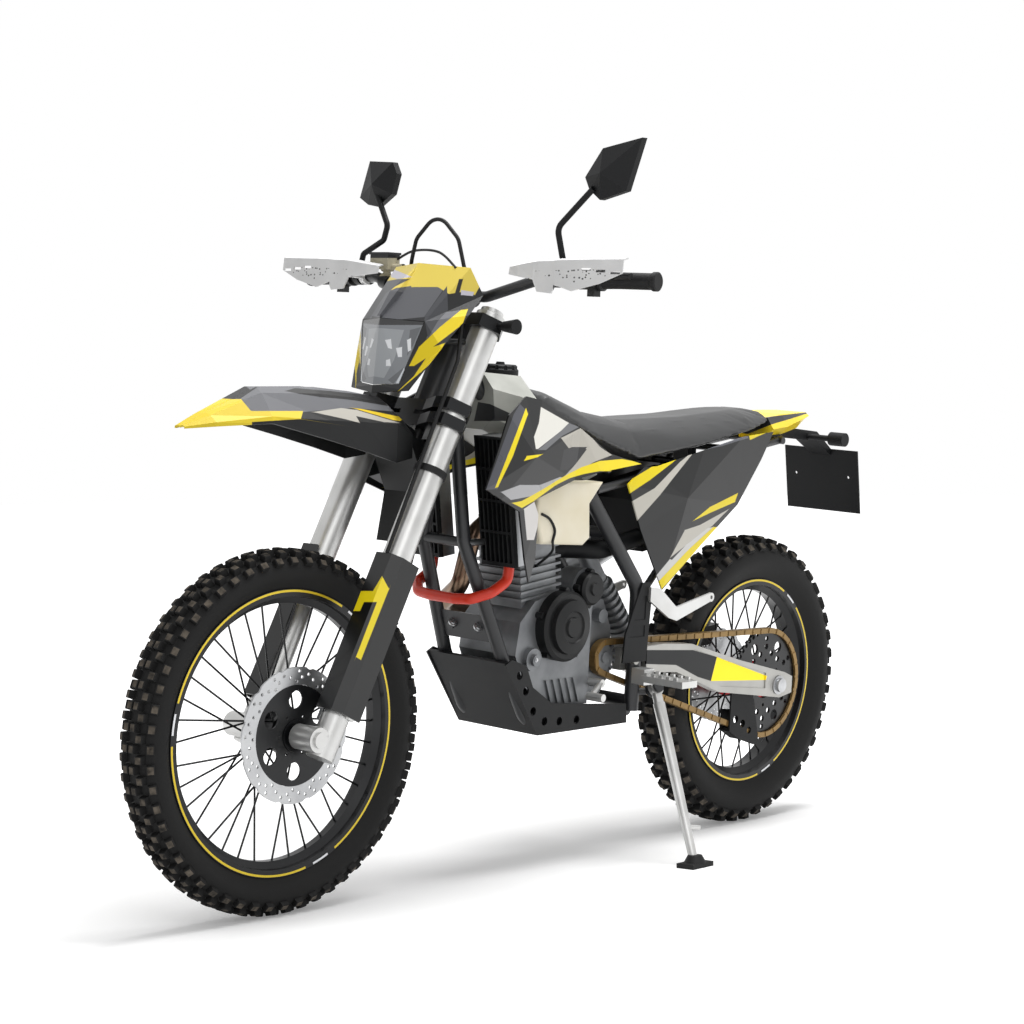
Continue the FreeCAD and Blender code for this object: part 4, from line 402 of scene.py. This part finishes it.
def hose(name, body, finish, points, radius):
    """A hose of the given radius along a smooth line through points."""
    ends = [points[0]] + points + [points[-1]]
    line = []
    for p0, p1, p2, p3 in zip(ends, ends[1:], ends[2:], ends[3:]):
        for t in (k / STEPS_PER_POINT for k in range(STEPS_PER_POINT)):
            line.append(0.5 * (2 * p1 + t * (p2 - p0) + t * t * (2 * p0 - 5 * p1 + 4 * p2 - p3)
                               + t ** 3 * (3 * p1 - p0 - 3 * p2 + p3)))
    line.append(points[-1])
    curve = bpy.data.curves.new(name, "CURVE")
    curve.dimensions = "3D"
    curve.bevel_depth = radius
    curve.bevel_resolution = 3
    curve.use_fill_caps = True
    spline = curve.splines.new("POLY")
    spline.points.add(len(line) - 1)
    for spot, at in zip(spline.points, line):
        spot.co = (*at, 1)
    curve.materials.append(finish)
    made = bpy.data.objects.new(name, curve)
    bpy.context.scene.collection.objects.link(made)
    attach(made, body)


vent_line = [on_surface(x, y) for x, y in VENT_LOOP_PIXELS]
vent_line = [place + normal * 0.002 for place, normal in vent_line]
vent_foot, _ = on_surface(*VENT_FOOT_PIXEL)
vent_line.append(vent_line[-1] + Vector((0.004, 0, -0.022)))
hose("tank_vent_hose", "chassis", hose_rubber, vent_line + [vent_foot], VENT_RADIUS)

# Seat: soft foam on a plastic base, under a grippy black vinyl cover that is stapled along its
# edge. The foam swells a few millimetres between the staples, and the vinyl catches the light.
FOAM_GRID = 0.006
FOAM_SWELL = 0.006
FOAM_PRESSURE = 4
FOAM_FRAMES = 20
HELD_BELOW = 0.15
seat_vinyl = coated("black_grip_vinyl", "131416", "0e0f10",
                    rough=0.42, grain_mm=1.2, depth_mm=0.15, mirror=0.8)


def blown_up(name, source, finish):
    """A copy of a pad with its foam swollen by up to FOAM_SWELL, held along its under side."""
    made = bpy.data.objects.new(name, nodes[source].data.copy())
    made.matrix_world = nodes[source].matrix_world
    bpy.context.scene.collection.objects.link(made)
    grid = made.modifiers.new("grid", "REMESH")
    grid.mode = "VOXEL"
    grid.voxel_size = FOAM_GRID
    grid.use_smooth_shade = True
    bpy.context.view_layer.update()
    mesh = bpy.data.meshes.new_from_object(made.evaluated_get(bpy.context.evaluated_depsgraph_get()))
    made.modifiers.clear()
    made.data = mesh
    start = [v.co.copy() for v in mesh.vertices]
    held = made.vertex_groups.new(name="held")
    held.add([v.index for v in mesh.vertices if v.normal.z < HELD_BELOW], 1.0, "REPLACE")
    foam = made.modifiers.new("foam", "CLOTH")
    foam.settings.use_pressure = True
    foam.settings.uniform_pressure_force = FOAM_PRESSURE
    foam.settings.vertex_group_mass = "held"
    foam.settings.effector_weights.gravity = 0
    for step in range(1, FOAM_FRAMES + 1):
        bpy.context.scene.frame_set(step)
    moved = made.evaluated_get(bpy.context.evaluated_depsgraph_get()).data
    for vertex, other, first in zip(mesh.vertices, moved.vertices, start):
        shift = other.co - first
        vertex.co = first + shift * min(1, FOAM_SWELL / max(shift.length, 1e-6))
    made.modifiers.remove(foam)
    bpy.context.scene.frame_set(1)
    made.modifiers.new("round", "SUBSURF").levels = 1
    made.data.materials.clear()
    made.data.materials.append(finish)
    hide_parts(source)
    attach(made, "chassis")


blown_up("seat_cover", "seat", seat_vinyl)

# Side panels: black mouldings pushed into the frame's grommets, under the same printed film as
# the shrouds. Its yellow and grey bands run down to the panel's point.
panel_film = coated("printed_side_panel_film", "0b0c0d", "08090a",
                    rough=0.34, grain_mm=2.5, depth_mm=0.03, mirror=0.35, coat=0.1, marks=[
    # grey strip under the seat
    ("62636a", [(694, 443), (704, 440), (748, 433), (748, 438), (722, 446), (702, 450)]),
    # yellow bands
    ("f6de18", [(625, 483), (629, 494), (650, 480), (672, 463), (697, 443), (690, 444), (672, 454),
                (650, 468)],
     [(749, 435), (770, 426), (774, 425), (770, 431), (750, 440)],
     [(693, 521), (710, 507), (738, 493), (735, 502), (712, 512)],
     [(657, 583), (661, 590), (690, 558), (718, 527), (713, 527), (688, 550)]),
    # warm grey flames
    ("c9c5bb", [(631, 502), (637, 521), (660, 495), (697, 448), (680, 462), (655, 488)],
     [(670, 558), (685, 530), (700, 525), (729, 509), (712, 526), (690, 542)]),
    # pale edges of the bands
    ("d8d7d4", [(654, 579), (657, 583), (688, 550), (713, 527), (708, 528), (686, 545)],
     [(648, 560), (650, 560), (656, 576), (670, 559), (672, 560), (657, 581)])])
dress("side_panels", panel_film)

# Rear fender: injection moulded in yellow polypropylene and bolted to the subframe, with a black
# printed wedge under its upper edge.
tail_film = coated("yellow_tail_moulding", "f0d42a", "e6c616",
                   rough=0.34, grain_mm=2.0, depth_mm=0.04, coat=0.1, marks=[
    # black wedge
    ("1c1d1e", [(735, 425), (768, 417), (800, 413), (812, 412), (790, 419), (773, 424), (745, 435)])])
dress("rear_fender", tail_film)

# Plate holder: a black moulded arm with the rear indicators and a blank plate, bolted under the
# fender.
dress("plate_holder", moulded_black)

# Swingarm: welded aluminium box, satin anodised. Its recessed face holds a black and a yellow
# sticker.
arm_film = coated("stickered_swingarm_aluminium", "aeada9", "9f9e9a",
                  rough=0.38, grain_mm=0.7, depth_mm=0.02, metallic=0.6, marks=[
    # black sticker
    ("1c1d1e", [(645, 650), (693, 650), (717, 657), (711, 681), (698, 677), (676, 665), (645, 664)]),
    # yellow sticker
    ("f6de18", [(717, 657), (767, 676), (766, 680), (711, 681)])])
dress("swingarm", arm_film)

# Rear shock and calipers: the shock's spring and body and the front caliper are blasted
# aluminium, and the rear caliper is painted black like the covers.
dress("rear_shock front_caliper", cast_aluminium)
dress("rear_caliper", cover_paint)

# Chain: plated steel rollers and plates, dulled to a tan gold by wax and dust. Its guide is a
# black moulding.
gold_plate = coated("gold_plated_chain_steel", "94784b", "6f5a38",
                    rough=0.45, grain_mm=2.0, depth_mm=0.1, metallic=0.75)
dress("chain", gold_plate)
dress("chain_guide", moulded_black)

# Footpegs, foot controls, side stand and fork tubes: aluminium with a satin anodised skin, pale
# and even. The stand's foot is a rubber pad.
satin_aluminium = coated("satin_anodised_aluminium", "cfcfce", "bdbdbb",
                         rough=0.36, grain_mm=0.7, depth_mm=0.02, metallic=0.8)
dress("fork_tubes fork_legs footpegs foot_controls stand_leg", satin_aluminium)
dress("stand_foot", hose_rubber)

# Rims: black anodised aluminium laced with black spokes. Each rim wall carries a thin yellow
# stripe of tape in three segments, with a short white piece in its gaps.
FRONT_AXLE_X, FRONT_RADIUS = 0.741, 0.350
REAR_AXLE_X, REAR_RADIUS = -0.741, 0.336
STRIPE_HALF_WIDTH = 0.0021
SEGMENTS = 3
GAP_SHARE = 0.14
WHITE_MIDDLE, WHITE_HALF = 0.07, 0.035


def about_axle(owner, place, axle_x, radius):
    """Radius from the wheel's axle, turn round it, and distance from the wheel's plane."""
    wheel = (place @ Matrix.Translation((axle_x, 0, radius))).inverted()
    where = add(owner, "TexCoord", {}).outputs["Object"]
    local = add(owner, "Mapping", {"Location": wheel.translation, "Rotation": wheel.to_euler()},
                {"Vector": where})
    axes = add(owner, "SeparateXYZ", {}, {0: local.outputs[0]}).outputs
    flat = add(owner, "CombineXYZ", {}, {"X": axes["X"], "Y": axes["Z"]})
    far = add(owner, "VectorMath", {"operation": "LENGTH"}, {0: flat.outputs[0]}).outputs["Value"]
    turn = add(owner, "Math", {"operation": "ARCTAN2"}, {0: axes["Z"], 1: axes["X"]}).outputs[0]
    side = add(owner, "Math", {"operation": "ABSOLUTE"}, {0: axes["Y"]}).outputs[0]
    return far, turn, side


def striped_rim(name, place, axle_x, radius, stripe_at, wall):
    """Rim anodising with a stripe at one radius, on the faces further out than wall."""
    made = coated(name, "17181a", "101113", rough=0.3, grain_mm=1.5, depth_mm=0.02, metallic=0.4)
    shader = made.node_tree.nodes["Principled BSDF"]
    plain = shader.inputs["Base Color"].links[0].from_socket
    far, turn, side = about_axle(made, place, axle_x, radius)
    band = add(made, "Math", {"operation": "COMPARE", 1: stripe_at, 2: STRIPE_HALF_WIDTH}, {0: far})
    outer = add(made, "Math", {"operation": "GREATER_THAN", 1: wall}, {0: side})
    segment = add(made, "Math", {"operation": "MULTIPLY", 1: SEGMENTS / (2 * math.pi)}, {0: turn})
    share = add(made, "Math", {"operation": "FRACT"}, {0: segment.outputs[0]}).outputs[0]
    yellow = add(made, "Math", {"operation": "GREATER_THAN", 1: GAP_SHARE}, {0: share})
    white = add(made, "Math", {"operation": "COMPARE", 1: WHITE_MIDDLE, 2: WHITE_HALF}, {0: share})
    on_wall = add(made, "Math", {"operation": "MULTIPLY"}, {0: band.outputs[0], 1: outer.outputs[0]})
    for code, part in (("dcc02a", yellow), ("dcdde0", white)):
        here = add(made, "Math", {"operation": "MULTIPLY"}, {0: on_wall.outputs[0], 1: part.outputs[0]})
        plain = add(made, "MixRGB", {2: linear(code)}, {0: here.outputs[0], 1: plain}).outputs[0]
    made.node_tree.links.new(plain, shader.inputs["Base Color"])
    return made


dress("front_rim", striped_rim("striped_front_rim", steered, FRONT_AXLE_X, FRONT_RADIUS,
                               stripe_at=0.2705, wall=0.0265))
dress("rear_rim", striped_rim("striped_rear_rim", parked, REAR_AXLE_X, REAR_RADIUS,
                              stripe_at=0.2335, wall=0.0345))

# Hubs, carrier, sprocket and fork clamps: turned or milled aluminium with a hard black anodised
# skin. The rear hub is anodised red, a clear tint over bright metal.
rim_anodising = coated("black_anodised_aluminium", "17181a", "101113",
                       rough=0.32, grain_mm=1.5, depth_mm=0.02, metallic=0.4)
dress("front_hub front_carrier triple_clamps rear_sprocket", rim_anodising)
red_anodising = coated("red_anodised_aluminium", "b01420", "8e0f19",
                       rough=0.3, grain_mm=1.5, depth_mm=0.02, metallic=0.8)
dress("rear_hub", red_anodising)

# Tyres: off-road rubber with rows of small square knobs, moulded in one with the carcass. The
# rubber is dead matt, and the tops of the knobs are painted a patchy dusty brown, which stands
# for both their scuffing and a painted highlight on them.
KNOB_ROOT_MM = 5
KNOB_CHAMFER_MM = 1.2
KNOB_FLARE, KNOB_TIP = 1.12, 0.82
tyre_rubber = coated("black_tyre_rubber", "161616", "0e0e0e",
                     rough=0.7, grain_mm=1.0, depth_mm=0.12, mirror=0.25)
scuffed_and_highlit_rubber = coated("scuffed_knob_rubber_and_painted_highlight", "6a6258", "1c1b1a",
                        rough=0.8, grain_mm=3.0, depth_mm=0.2, patch_mm=14, mirror=0.2)


def knobbly_tyre(name, source, body, place, axle_x, radius, profile, knobs, pitches):
    """A revolved carcass with knob rows, in mm. The profile is radius and half width from the
    crown to the bead. A knob row is its radius, distance from the crown, tilt in degrees,
    width, length, height and share of a pitch."""
    shape = bmesh.new()
    centre = Vector((axle_x, 0, radius))
    outline = profile + [(far, -side) for far, side in reversed(profile)]
    steps = pitches * 2
    rings = [[shape.verts.new(centre + Vector((far * math.cos(t), side, far * math.sin(t))) / 1000)
              for far, side in outline] for t in (2 * math.pi * k / steps for k in range(steps))]
    for k in range(steps):
        here, there = rings[k], rings[(k + 1) % steps]
        for j in range(len(outline)):
            after = (j + 1) % len(outline)
            shape.faces.new((here[j], here[after], there[after], there[j])).smooth = True
    for k in range(pitches):
        for far, side, tilt, wide, long, high, share in knobs:
            for hand in (1, -1) if side else (1,):
                turn = 2 * math.pi * (k + share) / pitches - math.pi / 2
                lay = (Matrix.Translation(centre) @ Matrix.Rotation(-turn, 4, "Y")
                       @ Matrix.Translation((far / 1000, hand * side / 1000, 0))
                       @ Matrix.Rotation(math.radians(hand * tilt), 4, "Z"))
                levels = ((-KNOB_ROOT_MM, KNOB_FLARE), (high - KNOB_CHAMFER_MM, 1.0), (high, KNOB_TIP))
                low, middle, top = [
                    [shape.verts.new(lay @ (Vector((x, a * wide * s / 2, b * long * s / 2)) / 1000))
                     for a, b in ((1, 1), (-1, 1), (-1, -1), (1, -1))] for x, s in levels]
                for first, second in ((low, middle), (middle, top)):
                    for j in range(4):
                        after = (j + 1) % 4
                        shape.faces.new((first[j], first[after], second[after], second[j]))
                shape.faces.new(top).material_index = 1
    bmesh.ops.recalc_face_normals(shape, faces=shape.faces)
    shape.transform(place)
    mesh = bpy.data.meshes.new(name)
    shape.to_mesh(mesh)
    shape.free()
    mesh.materials.append(tyre_rubber)
    mesh.materials.append(scuffed_and_highlit_rubber)
    made = bpy.data.objects.new(name, mesh)
    bpy.context.scene.collection.objects.link(made)
    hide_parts(source)
    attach(made, body)


knobbly_tyre("front_knobbly_tyre", "front_tyre", "front_wheel", steered, FRONT_AXLE_X, FRONT_RADIUS,
             profile=[(338, 6), (337, 14), (333, 25), (325, 35), (313, 41), (300, 41.5), (288, 36),
                      (278, 27), (272, 24.5), (265, 22.5)],
             knobs=[(339, 9, 0, 14, 15, 10.6, 0.0), (336.5, 22, 18, 14, 15, 10, 0.5),
                    (326, 35.5, 52, 14, 17, 7.5, 0.0)], pitches=56)
knobbly_tyre("rear_knobbly_tyre", "rear_tyre", "rear_wheel", parked, REAR_AXLE_X, REAR_RADIUS,
             profile=[(324, 8), (322, 20), (317, 33), (308, 45), (294, 53), (276, 54), (256, 46),
                      (242, 35), (236, 32.5), (228, 30.6)],
             knobs=[(325, 0, 0, 26, 17, 10.7, 0.0), (323, 24, 10, 18, 17, 10, 0.5),
                    (310, 42, 48, 18, 20, 9, 0.0)], pitches=44)

# Brake discs and rear axle: stainless steel, ground on both faces, which leaves them bright with
# a fine haze. The wavy discs are bolted to the front carrier and the rear hub.
ground_steel = coated("ground_stainless_steel", "b9babb", "a1a2a4",
                      rough=0.3, grain_mm=0.8, depth_mm=0.02, metallic=1.0)
dress("front_disc rear_disc rear_axle", ground_steel)

# Fork guards: black mouldings, screwed in front of the lower tubes against flying stones. Each
# carries one yellow sticker.
guard_film = coated("printed_fork_guard_film", "0f1011", "0b0c0d",
                    rough=0.3, grain_mm=2.5, depth_mm=0.03, mirror=0.35, coat=0.1, place=steered,
                    marks=[
    # yellow sticker
    ("f6de18", [(356, 591), (373, 591), (382, 576), (389, 589), (361, 660), (356, 657), (377, 602),
                (364, 602), (360, 611), (350, 611)])])
dress("fork_guards", guard_film)

# Front fender: one black moulding bolted under the lower clamp, with a printed film of greys
# that turns yellow towards its tip. It is duller than the panels, so its top stays even.
fender_film = coated("printed_fender_film", "0f1011", "0b0c0d",
                     rough=0.46, grain_mm=2.5, depth_mm=0.01, mirror=0.3, place=steered, marks=[
    # grey spine
    ("66676b", [(240, 399), (251, 412), (303, 412), (352, 408), (400, 412), (410, 399), (340, 386),
                (290, 374), (262, 384)]),
    # black inlay
    ("101011", [(285, 391), (295, 388), (330, 391), (405, 399), (412, 410), (352, 400), (320, 397),
                (300, 394)]),
    # warm grey flame
    ("b4b0a7", [(313, 412), (341, 408), (357, 410), (400, 423), (384, 422), (356, 416), (360, 423),
                (345, 419)]),
    # yellow line in the flame
    ("e0c020", [(353, 408), (362, 409), (406, 418), (400, 421), (393, 420)]),
    # yellow tip
    ("e2c832", [(165, 450), (175, 400), (241, 399), (251, 411), (303, 411), (301, 419), (252, 422),
                (252, 426)])])
dress("front_fender", fender_film)

# Headlight mask: a black moulding carried by the fork, under a yellow and grey film. Its brow
# is printed unevenly left and right, and a painted shadow line lies over the lens, so those
# marks aren't mirrored.
mask_film = coated("printed_mask_film", "161718", "111213",
                   rough=0.34, grain_mm=2.5, depth_mm=0.03, mirror=0.35, coat=0.1, place=steered,
                   marks=[
    # grey centre panel
    ("55565a", [(370, 318), (411, 287), (438, 287), (443, 290), (424, 317), (396, 320)]),
    # pale grey cheek
    ("67686d", [(440, 313), (461, 310), (438, 331), (426, 339)]),
    # yellow brow
    ("d6c052", [(370, 262), (412, 262), (461, 262), (486, 264), (482, 282), (475, 295), (461, 292),
                (449, 294), (438, 287), (411, 287), (380, 294)]),
    # dark grey fin
    ("3e3f43", [(424, 317), (447, 286), (448, 310), (438, 321), (428, 338)]),
    # yellow flash on the cheek
    ("f2d614", [(468, 309), (461, 310), (440, 327), (419, 347), (409, 366), (414, 366), (426, 358),
                (414, 376), (394, 395), (421, 372), (436, 359), (445, 343), (433, 347), (459, 327),
                (463, 323)])], own_marks=[
    # grey corner of the centre panel
    ("55565a", [(387, 292), (396, 288), (411, 286), (416, 300), (400, 319), (376, 316), (382, 301)]),
    # dark grey edge
    ("3b3c3f", [(352, 318), (382, 282), (398, 279), (410, 279), (396, 286), (386, 293), (370, 318)]),
    # black wedge on the brow
    ("141416", [(376, 281), (380, 268), (388, 267), (391, 274), (386, 280)]),
    # white flashes on the brow
    ("bdbac4", [(384, 266), (398, 271), (412, 277), (397, 279), (391, 277), (391, 273)],
     [(461, 290), (474, 292), (473, 296), (461, 295)]),
    # black bar and the shadow line over the lens
    ("141416", [(459, 279), (463, 279), (455, 311), (450, 311)],
     [(372, 316), (396, 320), (425, 317), (423, 326), (398, 328), (370, 323)])])
dress("headlight_mask", mask_film)

# Headlight lens: clear polycarbonate over a silvered reflector with small LED cups, in a black
# surround. Here it is one opaque surface: the reflector's grey is a painted reflection, its
# brighter upper part and lower rim are painted highlights, its darker corners painted shade, and
# the white spots are painted glints on the LED cups. The hard-coated plastic is the glossiest
# surface of the bike.
lens_plastic = coated("polycarbonate_lens_with_painted_reflector", "1b1c1e", "141517",
                      rough=0.1, grain_mm=6.0, depth_mm=0.05, coat=0.6, place=steered, marks=[
    # reflector, its silver painted as a grey reflection
    ("85898e", [(376, 325), (423, 325), (415, 347), (404, 370), (393, 387), (376, 390), (368, 382),
                (369, 349)]),
    # painted highlight on the upper reflector
    ("a4a8ac", [(379, 328), (404, 330), (394, 360), (384, 378), (372, 376), (373, 350)]),
    # its shaded corners
    ("63666a", [(404, 367), (400, 376), (393, 384), (388, 380)],
     [(410, 330), (421, 327), (413, 346), (407, 356)]),
    # painted highlight along the lower rim
    ("dfe4ea", [(368, 381), (372, 387), (393, 388), (404, 368), (406, 371), (395, 392), (371, 391),
                (366, 384)]),
    # painted glints on the LED cups
    ("f6f8fb", [(385, 340), (391, 339), (392, 349), (388, 348)],
     [(396, 348), (402, 347), (402, 357), (398, 357)],
     [(386, 360), (390, 359), (391, 366), (386, 366)],
     [(407, 340), (411, 338), (411, 350), (408, 352)])])
dress("headlight_lens", lens_plastic)

# Indicators and mirrors: small matt black mouldings. The indicators stand on rubber stems, and
# the mirrors on bent steel stalks from the perches.
dress("front_indicators mirrors", moulded_black)

# Handlebar and grips: one tapered bar in the frame's satin black, with ribbed rubber grips
# pushed on.
dress("handlebar", powder_coat)
dress("grips", hose_rubber)

# Handguards: white polypropylene blades, moulded with a field of small holes in their outer
# faces and two fixing slots. Neither is cut here: the holes and slots are painted dark, as the
# shade seen through them.
PIXEL_MM = 2.08
HOLE_PITCH_MM = 8
HOLE_RADIUS_SHARE = 0.24
HOLE_FIELD = [(533, 271), (590, 269), (608, 272), (604, 278), (575, 284), (550, 279)]
white_plastic = coated("moulded_white_polypropylene", "f0f0f0", "e4e4e4",
                       rough=0.38, grain_mm=1.6, depth_mm=0.05, place=steered, marks=[
    # painted shade of the fixing slots
    ("1c1c1d", [(553, 285), (562, 288), (559, 294), (553, 294)],
     [(526, 279), (529, 278), (532, 291), (527, 291)])])
guard_shader = white_plastic.node_tree.nodes["Principled BSDF"]
skin = guard_shader.inputs["Base Color"].links[0].from_socket
pixel = photo_pixel(white_plastic, steered)
# The holes are painted shade: dark spots in a Voronoi field over the blades' outer faces.
cells = add(white_plastic, "TexVoronoi", {"Scale": PIXEL_MM / HOLE_PITCH_MM, "Randomness": 0.75},
            {"Vector": pixel})
hole = add(white_plastic, "Math", {"operation": "LESS_THAN", 1: HOLE_RADIUS_SHARE},
           {0: cells.outputs["Distance"]})
field = inside(white_plastic, pixel, HOLE_FIELD)
painted_hole_shade = add(white_plastic, "Math", {"operation": "MULTIPLY"}, {0: hole.outputs[0], 1: field})
guard_colour = add(white_plastic, "MixRGB", {2: linear("2a2a2c")}, {0: painted_hole_shade.outputs[0], 1: skin})
white_plastic.node_tree.links.new(guard_colour.outputs[0], guard_shader.inputs["Base Color"])
dress("handguards", white_plastic)

# Bar controls: forged levers and perches, anodised satin black. The front brake's reservoir is
# moulded in cream nylon under a black lid.
control_black = coated("black_anodised_controls", "101112", "0b0c0d",
                       rough=0.4, grain_mm=1.0, depth_mm=0.04, mirror=0.35, place=steered, own_marks=[
    # cream reservoir
    ("b3ac94", [(366, 258), (402, 258), (402, 276), (366, 276)])])
dress("control_levers", control_black)

# Brake hose: the same matt black rubber, looped over the mask from the master cylinder and
# clipped to the left fork tube.
dress("brake_hose", hose_rubber)

# Switch cable: a thin rubber sheathed cable that arches from the right perch over the mask and
# plugs in behind it.
PERCH_PIXEL = (398, 259)
MASK_TOP_PIXEL = (456, 268)
CABLE_RADIUS = 0.0026
perch, _ = on_surface(*PERCH_PIXEL)
behind, _ = on_surface(*MASK_TOP_PIXEL)
span = behind - perch
hose("switch_cable", "steering", hose_rubber,
     [perch, perch + span * 0.3 + Vector((0, 0, 0.022)), perch + span * 0.72 + Vector((0, 0, 0.026)),
      behind], CABLE_RADIUS)
